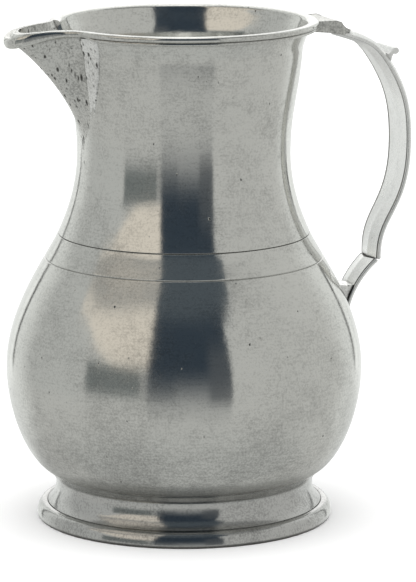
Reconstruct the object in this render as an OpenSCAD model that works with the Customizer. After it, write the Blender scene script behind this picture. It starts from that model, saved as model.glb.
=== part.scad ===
// Pewter pitcher: a soldered assembly of castings on a spread foot, with a beak
// spout, a strap handle with a thumb rest, and a short strut from the handle's
// knee to the belly. The origin is the centre of the foot's underside, +Z is up,
// and +X points to the handle. Lengths are in millimetres.

/* [Vessel] */
// Thickness of the cast walls
wall = 1.9; // [1.5:0.1:2.4]
// Height of the step in the joint between two castings
lap_height = 3; // [2:0.5:5]

/* [Bowl] */
// Height of the vessel's underside on the axis
base_height = 14; // [12:0.5:16]
// Width of the belly at its widest line
belly_d = 160.2; // [150:1:170]
// Height of the belly's widest line
belly_height = 69; // [64:1:74]
// Width at the upper incised line, where the neck begins
shoulder_d = 113; // [108:1:118]
// Height of the upper incised line
shoulder_height = 129.9; // [124:1:136]
// Distance from the upper incised line down to the lower one
line_gap = 10.8; // [9:0.1:14]
// Width of an incised line at the surface
line_width = 0.9; // [0.6:0.1:1.2]
// Depth of an incised line
line_depth = 0.4; // [0.2:0.1:0.6]

/* [Neck] */
// Height of the neck from the upper incised line to the rim's top
neck_height = 95.1; // [88:0.1:102]
// Width of the neck at its narrowest
waist_d = 95.6; // [90:1:100]
// Distance from the upper incised line up to the neck's narrowest line
waist_rise = 36.6; // [32:0.1:42]
// Width of the neck where its flare quickens
flare_d = 104.7; // [100:1:108]
// Distance from the rim's top down to where the flare quickens
flare_drop = 20; // [17:0.5:24]
// Width of the neck under the rim moulding
collar_d = 112; // [110:1:114]

/* [Rim] */
// How far the rim moulding stands out from the neck under it
rim_overhang = 4.25; // [3.6:0.05:4.8]
// How far the mouth's edge lies inside the neck's outer line at the rim's top
mouth_inset = 0.3; // [0.2:0.1:0.8]
// Radius of the roll along the moulding's top
roll_r = 1.25; // [1:0.05:1.45]
// Radius of the fine bead under the roll
bead_r = 0.75; // [0.5:0.05:0.9]
// Radius of the rounding inside the mouth
mouth_round = 1.8; // [1.2:0.1:2.2]

/* [Foot] */
// Height of the seam between foot and bowl
foot_height = 22.5; // [21:0.5:24]
// Width of the foot at that seam
seat_d = 123.2; // [118:1:128]
// How far the cove draws in below that seam
cove_depth = 3.6; // [2:0.1:5]
// Height of the cove's narrowest line
cove_height = 15.6; // [14:0.2:17]
// How far the cove spreads from its narrowest line to the base band
cove_spread = 3.9; // [2.5:0.1:5]
// How far the base band stands out from the cove's lower edge
band_out = 4.8; // [3:0.1:6.5]
// Height of the base band
band_height = 7.1; // [6:0.1:8]
// Thickness of the foot's wall
foot_wall = 2.1; // [1.8:0.1:2.6]
// Width of the solder in the corner under the bowl
foot_solder_w = 2.2; // [1.5:0.1:3]

/* [Spout] */
// How far the tip of the spout's lip stands out from the rim
spout_out = 23.45; // [18:0.05:28]
// Distance from the lip's tip back to the beak's nose
nose_setback = 4.2; // [3.7:0.1:8]
// Distance from the rim's top down to the beak's lowest point on the neck
apex_drop = 57.5; // [50:0.5:65]
// Half the beak's width on the neck at its shoulder
beak_half = 17.3; // [14:0.1:19]
// Distance from the rim's top down to the beak's shoulder
beak_shoulder_drop = 20; // [17:0.5:25]
// Angle from the spout's middle at which the rim moulding ends
kink_angle = 23.5; // [21:0.5:26]
// How far the lip's top drops from the rim to its tip
tip_drop = 4.2; // [2:0.2:6]
// Height of the lip moulding beside the rim
lip_height = 2.6; // [2:0.1:3.4]
// Height of the lip moulding at its tip
lip_tip_height = 4.4; // [3:0.1:5]
// Width of the solder seams beside the spout
spout_solder_w = 4.5; // [3:0.1:6]

/* [Handle] */
// How far the outermost point of the strap stands out from the rim
handle_out = 47.65; // [40:0.05:56]
// Distance from the rim's top down to that outermost point
reach_drop = 60; // [53:0.5:67]
// Thickness of the strap at its crown
strap_t = 3.3; // [2.6:0.1:4]
// Thickness of the strap at its edges
strap_edge_t = 1.3; // [1:0.1:1.8]
// Width of the strap at its top
strap_w = 24; // [20:0.5:27]
// Width of the strap at the knee
knee_w = 19; // [16:0.5:22]
// Width of the flat strip along the crown's edges
strap_chamfer_w = 3; // [2:0.1:4]
// Distance from the outermost point in to the strap's inner face at the knee
knee_inset = 17.1; // [14:0.1:22]
// Distance from the outermost point down to the knee
knee_drop = 52.8; // [48:0.1:57]
// Distance from the rim out to the strap's end inside the root block
strap_set_out = 9.75; // [8:0.05:13]
// Distance from the rim's top down to the strap's inner face there
strap_start_drop = 8.1; // [7:0.1:10]
// Depth of the ridge along the strap's inner face
ridge_h = 1.35; // [0.5:0.1:2]
// Distance from the rim's top down to the root block's flat top
root_drop = 2.1; // [1:0.1:3.5]
// Width of the strut at the knee
strut_w = 17.5; // [15:0.5:19]
// Width of the strut at the belly
strut_end_w = 14.5; // [12:0.5:17]
// Distance from the knee down to where the strut's inner face meets the belly
strut_drop = 21.2; // [17:0.1:26]
// How far each end of the thumb rest lies in from the strap's edge
thumb_inset = 2; // [1.5:0.1:2.8]
// Radius of the thumb rest's bar
thumb_r = 1.45; // [1.2:0.05:1.8]
// How far the bar's centre stands out from the strap's crown
thumb_stand = 3.4; // [2.6:0.1:4.5]

/* [Hidden] */
$fn = 96;
pewter = [0.70, 0.70, 0.68];
dark_pewter = [0.55, 0.55, 0.54];
solder_grey = [0.78, 0.78, 0.75];
rim_height = shoulder_height + neck_height;
lower_line_height = shoulder_height - line_gap;
waist_height = shoulder_height + waist_rise;
flare_height = rim_height - flare_drop;
moulding_height = 2 * (roll_r + bead_r);
overrun = rim_height * 0.05;
seat_angle = 27;
shoulder_angle = 114;
flare_angle = 83;
collar_angle = 68;
rim_r = collar_d / 2 + rim_overhang;
collar_height = rim_height - moulding_height;
collar_top_r = collar_d / 2 + moulding_height / tan(collar_angle);
mouth_r = collar_top_r - mouth_inset;
steps = 10;

// A line is a chain of stations, each [across, up, heading], with the pulls of
// the curve's handles at the two ends of each stretch as shares of its chord.
vessel_pull_shares = [[0.60, 0.12], [0.23, 0.39], [0.40, 0.18], [0.21, 0.44],
    [0.39, 0.38], [0.60, 0.60]];
vessel_line = [[
    [0, base_height, 0],
    [seat_d / 2, foot_height, seat_angle],
    [belly_d / 2, belly_height, 90],
    [shoulder_d / 2, shoulder_height, shoulder_angle],
    [waist_d / 2, waist_height, 90],
    [flare_d / 2, flare_height, flare_angle],
    [collar_d / 2, collar_height, collar_angle]
], vessel_pull_shares];
UNDER = 0;
BOWL = 1;
SHOULDER = 2;
NAPE = 3;
THROAT = 4;
FLARE = 5;

// Steps along a curve of four control points
function cubic(a, b, c, d, t) =
    a * pow(1 - t, 3) + 3 * b * t * pow(1 - t, 2) + 3 * c * t * t * (1 - t) + d * pow(t, 3);
function cubic_way(a, b, c, d, t) =
    (b - a) * pow(1 - t, 2) + 2 * (c - b) * t * (1 - t) + (d - c) * t * t;
function heading(angle) = [cos(angle), sin(angle)];
function spot(station) = [station[0], station[1]];
function controls(line, i) =
    let(a = line[0][i], b = line[0][i + 1], pull = line[1][i], chord = norm(spot(b) - spot(a)))
    [spot(a), spot(a) + pull[0] * chord * heading(a[2]),
        spot(b) - pull[1] * chord * heading(b[2]), spot(b)];

// Direction and point on stretch i of a line, the point set in to the left by inset
function way(line, i, t) =
    let(c = controls(line, i), w = cubic_way(c[0], c[1], c[2], c[3], t))
    w / norm(w);
function on(line, i, t, inset = 0) =
    let(c = controls(line, i), w = way(line, i, t))
    cubic(c[0], c[1], c[2], c[3], t) + inset * [-w[1], w[0]];
function run(line, i, from, to, n, inset = 0) =
    [for (k = [0:n]) on(line, i, from + (to - from) * k / n, inset)];

// Share of stretch i at which a coordinate that grows along it has a value
function find(line, i, axis, value, inset = 0, low = 0, high = 1, left = 24) =
    let(middle = (low + high) / 2)
    left == 0 ? middle
    : on(line, i, middle, inset)[axis] < value ? find(line, i, axis, value, inset, middle, high, left - 1)
    : find(line, i, axis, value, inset, low, middle, left - 1);
function backwards(points) = [for (k = [len(points) - 1:-1:0]) points[k]];
function arc(centre, r, from, to, n) =
    [for (k = [0:n]) centre + r * heading(from + (to - from) * k / n)];

// Outer radius of the upper bowl and of the neck at a height
function bowl_r(h) = on(vessel_line, SHOULDER, find(vessel_line, SHOULDER, 1, h))[0];
function neck_r(h) =
    h < waist_height ? on(vessel_line, NAPE, find(vessel_line, NAPE, 1, h))[0]
    : h < flare_height ? on(vessel_line, THROAT, find(vessel_line, THROAT, 1, h))[0]
    : h < collar_height ? on(vessel_line, FLARE, find(vessel_line, FLARE, 1, h))[0]
    : collar_d / 2 + (h - collar_height) / tan(collar_angle);

// Two triangles for each cell between rows of points, n to a row
function cell(a, b, n) = [[a, b + n, b], [a, a + n, b + n]];
function flipped(faces) = [for (f = faces) [f[0], f[2], f[1]]];

// A closed end of a skin: a strip of triangles to and fro across the ring
function ring_end(first, n) = [for (k = [0:ceil(n / 2) - 2]) let(a = first + k, b = first + n - 1 - k)
    each (b - a > 2 ? [[a, a + 1, b], [a + 1, b - 1, b]] : [[a, a + 1, b]])];

// A solid skinned over rings of equally many points, closed at both ends
module skin(rings) {
    n = len(rings[0]);
    last = len(rings) - 1;
    points = [for (ring = rings) each ring];
    sides = [for (j = [0:last - 1], k = [0:n - 1]) each cell(j * n + k, j * n + (k + 1) % n, n)];
    polyhedron(points, concat(sides, ring_end(0, n), flipped(ring_end(last * n, n))));
}

// A shell between two sheets of points, rows of equally many on each; it begins
// in an edge, because both sheets start from the outer one's first row
module shell(outer, inner) {
    n = len(outer[0]);
    rows = len(outer);
    behind = function(a) a < n ? a : a + (rows - 1) * n;
    points = concat([for (row = outer) each row], [for (j = [1:rows - 1]) each inner[j]]);
    skins = [for (j = [0:rows - 2], k = [0:n - 2]) let(faces = cell(j * n + k, j * n + k + 1, n))
        each concat(faces, [for (f = flipped(faces)) [for (i = f) behind(i)]])];
    sill = [for (k = [0:n - 2]) let(a = (rows - 1) * n + k)
        each [[a, behind(a), behind(a + 1)], [a, behind(a + 1), a + 1]]];
    cheeks = [for (j = [0:rows - 2]) let(a = j * n, b = a + n - 1)
        each concat([[a, behind(a + n), a + n], [b, b + n, behind(b + n)]],
            j > 0 ? [[a, behind(a), behind(a + n)], [b, behind(b + n), behind(b)]] : [])];
    polyhedron(points, concat(sill, skins, cheeks));
}

// An outline in the plane of the spout and handle, made half thick on each side
module slab(half) {
    rotate([90, 0, 0])
        linear_extrude(2 * half, center = true)
            children();
}

// The joint between two castings: the lower one keeps a tongue on the inside
function mid_at(i, h) = find(vessel_line, i, 1, h, wall / 2);
function inner_at(i, h) = find(vessel_line, i, 1, h, wall);
function tongue(i, h) = concat(
    run(vessel_line, i, mid_at(i, h), mid_at(i, h + lap_height), 3, wall / 2),
    [on(vessel_line, i, inner_at(i, h + lap_height), wall)]);

// Foot

cove_r = seat_d / 2 - cove_depth;
spread_r = cove_r + cove_spread;
foot_r = spread_r + band_out;
cove_line = [[
    [seat_d / 2, foot_height, -125],
    [cove_r, cove_height, -90],
    [spread_r, band_height, -42]
], [[0.30, 0.45], [0.45, 0.30]]];
band_line = [[
    [spread_r + line_depth, band_height, 8],
    [foot_r, band_height / 5, -90]
], [[0.45, 0.35]]];
foot_inner_r = cove_r - foot_wall;
contact = find(vessel_line, UNDER, 0, foot_inner_r);
solder_edge = find(vessel_line, UNDER, 0, foot_inner_r - foot_solder_w);
foot_bevel = foot_r - band_height / 10;

module foot_ring() {
    color(dark_pewter)
        rotate_extrude()
            polygon(concat(
                run(cove_line, 0, 0, 1, 4),
                run(cove_line, 1, 0.15, 1, 6),
                [[spread_r - line_depth, band_height - line_width / 2]],
                run(band_line, 0, 0, 1, 6),
                [[foot_bevel, 0], [foot_bevel - 2 * foot_wall, 0]],
                backwards(run(cove_line, 1, 0.15, 0.8, 5, -foot_wall)),
                [[foot_inner_r, cove_height]],
                run(vessel_line, UNDER, contact, 0.999, 3)
            ));
}

module foot_solder() {
    corner = on(vessel_line, UNDER, contact);
    color(solder_grey)
        rotate_extrude()
            polygon(concat(
                run(vessel_line, UNDER, solder_edge, contact, 2),
                [corner - [0, foot_solder_w], corner - foot_solder_w * [0.35, 0.5]]
            ));
}

// Bowl

module lower_bowl() {
    lap_end = inner_at(SHOULDER, belly_height + lap_height);
    color(pewter)
        rotate_extrude()
            polygon(concat(
                run(vessel_line, UNDER, 0, solder_edge, steps),
                run(vessel_line, UNDER, solder_edge, contact, 2),
                run(vessel_line, UNDER, contact, 0.999, 3),
                run(vessel_line, BOWL, 0, 1, steps),
                tongue(SHOULDER, belly_height),
                backwards(run(vessel_line, SHOULDER, 0, lap_end / 2, 1, wall)),
                backwards(run(vessel_line, BOWL, 0.05, 0.95, steps, wall)),
                backwards(run(vessel_line, UNDER, 0, 0.9, steps, wall))
            ));
}

module upper_bowl() {
    groove = find(vessel_line, SHOULDER, 1, lower_line_height);
    half = line_width / 2 / norm(on(vessel_line, SHOULDER, 0) - on(vessel_line, SHOULDER, 1));
    top = 1 - half;
    from = inner_at(SHOULDER, belly_height + lap_height);
    color(pewter)
        rotate_extrude()
            polygon(concat(
                run(vessel_line, SHOULDER, 0, groove - half, steps),
                [on(vessel_line, SHOULDER, groove, line_depth)],
                run(vessel_line, SHOULDER, groove + half, top, 3),
                [on(vessel_line, SHOULDER, 1, line_depth)],
                tongue(NAPE, shoulder_height),
                backwards(run(vessel_line, SHOULDER, from, 1, steps, wall)),
                backwards(tongue(SHOULDER, belly_height))
            ));
}

// Neck and rim

module neck_wall() {
    half = line_width / 2 / norm(on(vessel_line, NAPE, 0) - on(vessel_line, NAPE, 1));
    from = inner_at(NAPE, shoulder_height + lap_height);
    inner_collar = on(vessel_line, FLARE, 1, wall);
    rise = rim_height - mouth_round - inner_collar[1];
    round_foot = [inner_collar[0] + rise / tan(collar_angle), rim_height - mouth_round];
    rotate_extrude()
        polygon(concat(
            [on(vessel_line, SHOULDER, 1, line_depth)],
            run(vessel_line, NAPE, half, 1, steps),
            run(vessel_line, THROAT, 0.1, 1, steps),
            run(vessel_line, FLARE, 0.2, 1, 4),
            [[collar_top_r, rim_height], [mouth_r, rim_height]],
            [for (a = [60, 30, 0]) round_foot + [(mouth_r - round_foot[0]) * (1 - cos(a)),
                mouth_round * sin(a)]],
            backwards(run(vessel_line, FLARE, 0, 1, 4, wall)),
            backwards(run(vessel_line, THROAT, 0.1, 0.9, steps, wall)),
            backwards(run(vessel_line, NAPE, from, 1, steps, wall)),
            backwards(tongue(NAPE, shoulder_height))
        ));
}

// The neck's outer shape as a filled solid, for what is fitted against it
module neck_core(edge) {
    rotate_extrude()
        polygon(concat(
            [[0, shoulder_height + lap_height]],
            run(vessel_line, NAPE, find(vessel_line, NAPE, 1, shoulder_height + lap_height), 1, steps),
            run(vessel_line, THROAT, 0.1, 1, steps),
            run(vessel_line, FLARE, 0.2, 1, 4),
            edge,
            [[0, edge[len(edge) - 1][1]]]
        ));
}

// The bowl's outer shape as a filled solid, for what is fitted against it
module bowl_core() {
    rotate_extrude()
        polygon(concat(
            [[0, belly_height]],
            run(vessel_line, SHOULDER, 0, 1, steps),
            [[0, shoulder_height]]
        ));
}

module neck() {
    other_side = backwards([for (p = opening_side) if (p[0] > 0) [-p[0], p[1]]]);
    color(pewter)
        difference() {
            neck_wall();
            rotate([90, 0, -90])
                linear_extrude(spout_reach)
                    polygon(concat(opening_side, other_side));
        }
}

roll_centre = [rim_r - roll_r, rim_height - roll_r];
bead_centre = [roll_centre[0] + roll_r / 2 - bead_r, collar_height + bead_r];
moulding_face = concat(arc(bead_centre, bead_r, -90, 50, 5), arc(roll_centre, roll_r, -50, 90, 7));

module moulding_ring() {
    rotate_extrude()
        polygon(concat(
            [[collar_d / 2, collar_height]],
            moulding_face,
            [[collar_top_r, rim_height]]
        ));
}

// The sector round the spout that the rim moulding leaves open
module spout_sector(half_angle) {
    far = 2 * spout_reach;
    translate([0, 0, apex_height])
        linear_extrude(rim_height)
            polygon([[0, 0], far * [-cos(half_angle), sin(half_angle)],
                far * [-1, 0], far * [-cos(half_angle), -sin(half_angle)]]);
}

module rim_moulding() {
    color(pewter)
        difference() {
            moulding_ring();
            spout_sector(kink_angle);
        }
}

// Spout

spout_reach = rim_r + spout_out;
nose_reach = spout_reach - nose_setback;
apex_height = rim_height - apex_drop;
beak_shoulder_height = rim_height - beak_shoulder_drop;

// Top and bottom edges of the lip, as distance from the axis and height
lip_root = rim_r * cos(kink_angle);
lip_top = [[
    [lip_root, rim_height, 0],
    [spout_reach, rim_height - tip_drop, -30]
], [[0.50, 0.18]]];
lip_bottom = [[
    [lip_root, rim_height - lip_height, 0],
    [spout_reach, rim_height - tip_drop - lip_tip_height, -18]
], [[0.40, 0.22]]];
function edge_z(edge, x) = on(edge, 0, find(edge, 0, 0, x))[1];

// Ridge of the beak, from the neck up to the nose, as distance and height
nose_height = edge_z(lip_bottom, nose_reach);
ridge_line = [[
    [neck_r(apex_height + wall), apex_height + wall, 91],
    [nose_reach, nose_height, 37]
], [[0.27, 0.31]]];
// Edge of the beak on the neck, as half-width and height
edge_line = [[
    [0, apex_height, 14],
    [beak_half, beak_shoulder_height, 82],
    [collar_top_r * sin(kink_angle), rim_height, 66]
], [[0.15, 0.42], [0.45, 0.25]]];
flank_steps = 9;
low_ring = apex_height + 1.2 * wall;
beak_rings = 11;
beak_heights = concat(
    [for (k = [0:beak_rings]) low_ring + (collar_height - low_ring) * k / beak_rings],
    [rim_height - lip_height, rim_height]);

function edge_half(h) =
    h > collar_height ? neck_r(h) * sin(kink_angle)
    : h < beak_shoulder_height ? on(edge_line, 0, find(edge_line, 0, 1, h))[0]
    : on(edge_line, 1, find(edge_line, 1, 1, h))[0];

// The beak's level lines sink towards the nose, and the last but one of them is
// the lip's bottom edge
function sinking(h) =
    pow(max(0, h - beak_shoulder_height) / (beak_shoulder_drop - lip_height), 2);
function level(h, x) =
    h > rim_height - lip_height / 2 ? edge_z(lip_top, x)
    : h - sinking(h) * (rim_height - lip_height - edge_z(lip_bottom, x));
function reach_at(h, low = 0, high = 1, left = 20) =
    let(middle = (low + high) / 2, p = on(ridge_line, 0, middle))
    left == 0 ? p[0]
    : p[1] < level(h, p[0]) ? reach_at(h, middle, high, left - 1)
    : reach_at(h, low, middle, left - 1);

// One level line of the beak, from the neck round the nose and back; the handles
// of each flank's curve are shares of its length and width that grow with height
flank_shares = [0.29, 0.70, -0.37];
nose_shares = [0.965, 0.33, 0.34];
function flank(reach, half, h) =
    let(u = (h - apex_height) / (rim_height - apex_height),
        start = sqrt(pow(neck_r(h), 2) - half * half),
        long = max(reach - start, wall / 9),
        a = [start, half],
        b = [start + long * flank_shares[0], half * (flank_shares[1] + flank_shares[2] * u * u)],
        c = [start + long * nose_shares[0], half * (nose_shares[1] + nose_shares[2] * u * u)],
        d = [start + long, 0])
    [for (k = [0:flank_steps]) cubic(a, b, c, d, k / flank_steps)];
function level_line(reach, half, h) =
    let(side = [for (p = flank(reach, half, h)) [-p[0], p[1], level(h, p[0])]])
    concat(side, [for (k = [flank_steps - 1:-1:0]) [side[k][0], -side[k][1], side[k][2]]]);
inner_half_share = 1.25;
inner_reach_share = 1.3;
function inner_half(h) = max(edge_half(h) - inner_half_share * wall, wall / 4);
beak_reaches = [for (h = beak_heights) h > collar_height ? nose_reach : reach_at(h)];
beak_outer = [for (j = [0:beak_rings + 2])
    level_line(beak_reaches[j], edge_half(beak_heights[j]), beak_heights[j])];
beak_inner = [for (j = [0:beak_rings + 2]) level_line(beak_reaches[j] - inner_reach_share * wall,
    inner_half(beak_heights[j]), beak_heights[j])];

// Half of the opening that is cut in the neck behind the beak
first_open = 2;
opening_side = concat(
    [[0, beak_heights[first_open] - wall]],
    [for (j = [first_open:beak_rings + 2]) [inner_half(beak_heights[j]), beak_heights[j]]],
    [[inner_half(rim_height), rim_height + overrun]]);

module spout() {
    color(pewter)
        shell(beak_outer, beak_inner);
}

// The lip's section at each step round the beak, from the beak's own edge out
// to the lip's plan, with its outer corners eased
lip_ease = lip_height * 0.28;
function lip_plan() =
    let(a = rim_r * [cos(kink_angle), sin(kink_angle)],
        d = [spout_reach, 0],
        span = spout_reach - lip_root,
        b = a + [span * 0.22, -a[1] * 0.62],
        c = d + [-span * 0.01, a[1] * 0.70],
        side = [for (k = [0:flank_steps]) cubic(a, b, c, d, k / flank_steps)])
    concat(side, [for (k = [flank_steps - 1:-1:0]) [side[k][0], -side[k][1]]]);
function lip_section(p, top, bottom) =
    let(root = [-top[0], top[1]], out = (p - root) / norm(p - root), back = p - out * lip_ease,
        high = edge_z(lip_top, p[0]), low = edge_z(lip_bottom, p[0]))
    [bottom, top, [-back[0], back[1], high], [-p[0], p[1], high - lip_ease],
        [-p[0], p[1], low + lip_ease], [-back[0], back[1], low]];

module spout_lip() {
    plan = lip_plan();
    color(pewter)
        skin([for (k = [0:2 * flank_steps])
            lip_section(plan[k], beak_outer[beak_rings + 2][k], beak_outer[beak_rings + 1][k])]);
}

// Solder along the two edges of the beak; its width changes along the seam by
// shares of the width that is set
solder_shares = [[0, 0.35], [0.2, 0.6], [0.62, 1], [0.85, 0.8], [1, 0.25]];
function solder_ring(j, side) =
    let(h = beak_heights[j],
        u = (h - apex_height) / (rim_height - apex_height),
        half = edge_half(h),
        out = half + spout_solder_w * lookup(u, solder_shares),
        row = beak_outer[j],
        between = (half + out) / 2,
        a = [-sqrt(pow(neck_r(h), 2) - out * out), out, h],
        foot = [-sqrt(pow(neck_r(h), 2) - between * between), between, h],
        crest = (a + row[3]) * 0.4 + row[0] * 0.2 - [wall * 0.2, 0, 0],
        ring = [row[0], row[1], row[2], row[3], crest, a, foot])
    [for (p = side < 0 ? ring : backwards(ring)) [p[0], side * p[1], p[2]]];

module spout_solder() {
    color(solder_grey)
        for (side = [-1, 1])
            skin([for (j = [1:beak_rings]) solder_ring(j, side)]);
}

// Handle

strap_start = rim_r + strap_set_out;
strap_start_height = rim_height - strap_start_drop;
root_top = rim_height - root_drop;
handle_reach = rim_r + handle_out;
reach_height = rim_height - reach_drop;
knee_reach = handle_reach - knee_inset;
knee_height = reach_height - knee_drop;
strut_foot_height = knee_height - strut_drop;
strap_line = [[
    [strap_start, strap_start_height, -19],
    [strap_start + (handle_reach - strap_t - strap_start) * 0.757,
        strap_start_height - (strap_start_height - reach_height) * 0.353, -59],
    [handle_reach - strap_t, reach_height, -90],
    [knee_reach, knee_height, -88]
], [[0.48, 0.49], [0.39, 0.39], [0.57, 0.40]]];
strut_line = [[
    [knee_reach - strap_t * 0.12, knee_height + strap_t * 0.1, -141],
    [bowl_r(strut_foot_height) + strap_t * 0.15, strut_foot_height, -103]
], [[0.33, 0.33]]];
strap_rings = 8;

// A cross-section of the strap: a ridge or belly on the inner face, thin edges
// and a crowned outer face, at its crown's share of flatness; outward is to the
// left of the way the strap runs
crown_share = 0.86;
function strap_out(line, i, t) = let(w = way(line, i, t)) [-w[1], w[0]];
function strap_section(line, i, t, width, ridge, crown = crown_share, edge = strap_edge_t) =
    let(p = on(line, i, t), out = strap_out(line, i, t), half = width / 2, flat = half - strap_chamfer_w,
        shape = [[-half, 0], [-half / 2, -ridge * 0.3], [0, -ridge], [half / 2, -ridge * 0.3], [half, 0],
            [half, edge], [flat, crown * strap_t], [0, strap_t], [-flat, crown * strap_t], [-half, edge]])
    [for (s = shape) [p[0] + out[0] * s[1], s[0], p[1] + out[1] * s[1]]];

// The end that is let into the root block is flat on both faces
let_in = 2;
strap_widths = [strap_w, strap_w, strap_w - (strap_w - knee_w) * 0.35, knee_w];
strap_ridges = [ridge_h, ridge_h / 2, 0, ridge_h];
module handle_strap() {
    color(pewter)
        skin(concat(
            [for (k = [0:let_in]) strap_section(strap_line, 0, k / strap_rings / 2, strap_w, 0, 1, strap_t)],
            [for (i = [0:2], k = [(i > 0 ? 0 : let_in):strap_rings - 1]) let(t = k / strap_rings)
                strap_section(strap_line, i, t, strap_widths[i] + (strap_widths[i + 1] - strap_widths[i]) * t,
                    strap_ridges[i] + (strap_ridges[i + 1] - strap_ridges[i]) * t)],
            [strap_section(strap_line, 2, 1, knee_w, ridge_h)]
        ));
}

function strap_crown(t, height = strap_t) = on(strap_line, 0, t) + height * strap_out(strap_line, 0, t);
root_shoulder = strap_start - strap_t / 2;
module root_outline() {
    toe = strap_crown(let_in / strap_rings / 2);
    fall = [root_shoulder, root_top - strap_t / 4];
    polygon(concat(
        [[collar_d / 2 - wall, strap_start_height + strap_edge_t], [collar_d / 2 - wall, root_top]],
        [for (k = [0:6]) cubic(fall, fall + [strap_t, 0], toe + [-strap_t * 0.8, strap_t * 0.9], toe, k / 6)],
        [strap_crown(1 / strap_rings / 2), strap_crown(0), on(strap_line, 0, 0)],
        [[strap_start - strap_t, strap_start_height + strap_edge_t * 0.7]]
    ));
}

module handle_root() {
    color(pewter)
        difference() {
            slab(strap_w / 2)
                root_outline();
            neck_core(moulding_face);
        }
}

module root_solder() {
    solder_h = moulding_height / 2;
    under = strap_start_height + strap_edge_t;
    color(solder_grey)
        difference() {
            slab(strap_w / 2 - wall)
                polygon([[collar_d / 2 - wall, under], [collar_d / 2 + solder_h, under - strap_edge_t * 0.05],
                    [collar_d / 2, under - solder_h * 0.6], [collar_d / 2 - wall, under - solder_h * 1.4]]);
            neck_core([[collar_top_r, rim_height]]);
        }
}

// The thumb rest is skinned across the strap, its foot on the strap's crown
thumb_place = 0.86;
thumb_half = strap_w / 2 - thumb_inset;
function thumb_section(y) =
    let(flat = strap_w / 2 - strap_chamfer_w,
        sag = strap_t * (1 - crown_share) * min(abs(y), flat) / flat,
        w = way(strap_line, 0, thumb_place),
        foot = strap_crown(thumb_place),
        seat = strap_crown(thumb_place, strap_t - sag),
        bar = foot + thumb_stand * heading(15),
        outline = concat(
            [seat + thumb_r * 1.4 * w, seat - thumb_r * 1.2 * w, foot + [thumb_r * 0.3, thumb_r * 0.5]],
            arc(bar, thumb_r, 140, -110, 8)))
    [for (p = outline) [p[0], y, p[1]]];

module thumb_rest() {
    flat = strap_w / 2 - strap_chamfer_w;
    color(pewter)
        skin([for (y = [-thumb_half, -flat, -flat / 2, 0, flat / 2, flat, thumb_half]) thumb_section(y)]);
}

function strut_width(t) = strut_w + (strut_end_w - strut_w) * t;
module strut_solid() {
    skin([for (k = [0:steps]) strap_section(strut_line, 0, k / steps, strut_width(k / steps), ridge_h)]);
}

module handle_strut() {
    color(pewter)
        difference() {
            strut_solid();
            translate([0, -strap_w, knee_height])
                cube([handle_reach, 2 * strap_w, overrun]);
            bowl_core();
        }
}

// Solder in the corner over the strut, shaped to the ridge on its inner face, at
// a share of the strut's half width
solder_foot = steps - 1;
solder_head = steps - 4;
function strut_face(t, share) =
    let(dip = ridge_h * (abs(share) < 0.5 ? 1 - 1.4 * abs(share) : 0.6 * (1 - abs(share))),
        p = on(strut_line, 0, t) - dip * strap_out(strut_line, 0, t))
    [p[0], share * strut_width(t) / 2, p[1]];
function strut_solder_section(share) =
    let(face = [for (k = [solder_foot:-1:solder_head]) strut_face(k / steps, share)],
        low = face[0],
        high = face[solder_foot - solder_head],
        top_z = high[2] + strap_t / 2,
        top = [bowl_r(top_z), high[1], top_z],
        dent = [strap_t / 3, 0, strap_t / 3])
    concat(face, [(high + top) / 2 - dent, top, low - [strap_t, 0, 0]]);

module strut_solder() {
    color(solder_grey)
        difference() {
            skin([for (share = [0.8, 0.5, 0.25, 0, -0.25, -0.5, -0.8]) strut_solder_section(share)]);
            bowl_core();
        }
}

foot_ring();
lower_bowl();
upper_bowl();
neck();
rim_moulding();
spout();
spout_lip();
handle_root();
handle_strap();
thumb_rest();
handle_strut();
foot_solder();
spout_solder();
root_solder();
strut_solder();
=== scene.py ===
"""A pewter pitcher: a turned bowl and neck on a spread foot, a beak spout soldered
over a cut in the neck, and a strap handle with a thumb rest.

The origin is the centre of the foot's underside, +Z is up and +X points to the
handle. Lengths are in metres.
"""

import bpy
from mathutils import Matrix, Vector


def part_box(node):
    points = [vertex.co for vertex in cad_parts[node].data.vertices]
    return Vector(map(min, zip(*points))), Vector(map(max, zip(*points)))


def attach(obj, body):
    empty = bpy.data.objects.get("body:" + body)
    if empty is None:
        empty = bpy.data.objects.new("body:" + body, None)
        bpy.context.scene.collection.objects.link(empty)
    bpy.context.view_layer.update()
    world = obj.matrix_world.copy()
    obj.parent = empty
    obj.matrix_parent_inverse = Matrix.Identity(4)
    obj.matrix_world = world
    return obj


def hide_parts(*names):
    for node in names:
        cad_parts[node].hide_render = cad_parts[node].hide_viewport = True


bl_info = {
    "name": "Pewter Pitcher",
    "version": (1, 0, 0),
    "blender": (4, 5, 0),
    "location": "View3D > Sidebar > Pitcher",
    "description": "Builds a soldered pewter pitcher, a table under it, and the studio round it",
    "category": "Add Mesh",
}

from math import atan2, cos, pi, radians, sin, tan

import bmesh
import bpy
import numpy as np
from bpy.props import FloatProperty, FloatVectorProperty, IntProperty, PointerProperty
from bpy.types import Operator, Panel, PropertyGroup
from mathutils import Vector

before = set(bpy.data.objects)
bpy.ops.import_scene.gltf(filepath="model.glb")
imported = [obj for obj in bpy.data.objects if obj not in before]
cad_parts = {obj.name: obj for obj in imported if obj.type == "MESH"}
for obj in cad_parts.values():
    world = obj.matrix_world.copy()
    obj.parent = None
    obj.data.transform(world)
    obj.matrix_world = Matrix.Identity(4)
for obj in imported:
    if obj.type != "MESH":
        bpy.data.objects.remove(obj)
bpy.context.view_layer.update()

# Points nearer to each other than DOUBLE are merged, and edges shorter than SLIVER go
DOUBLE = 2e-6
SLIVER = 1e-7


# Settings that the panel shows

def length(name, value, text):
    return FloatProperty(name=name, description=text, default=value, unit="LENGTH", precision=5)


def angle(name, degrees, text):
    return FloatProperty(name=name, description=text, default=radians(degrees), subtype="ANGLE")


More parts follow.
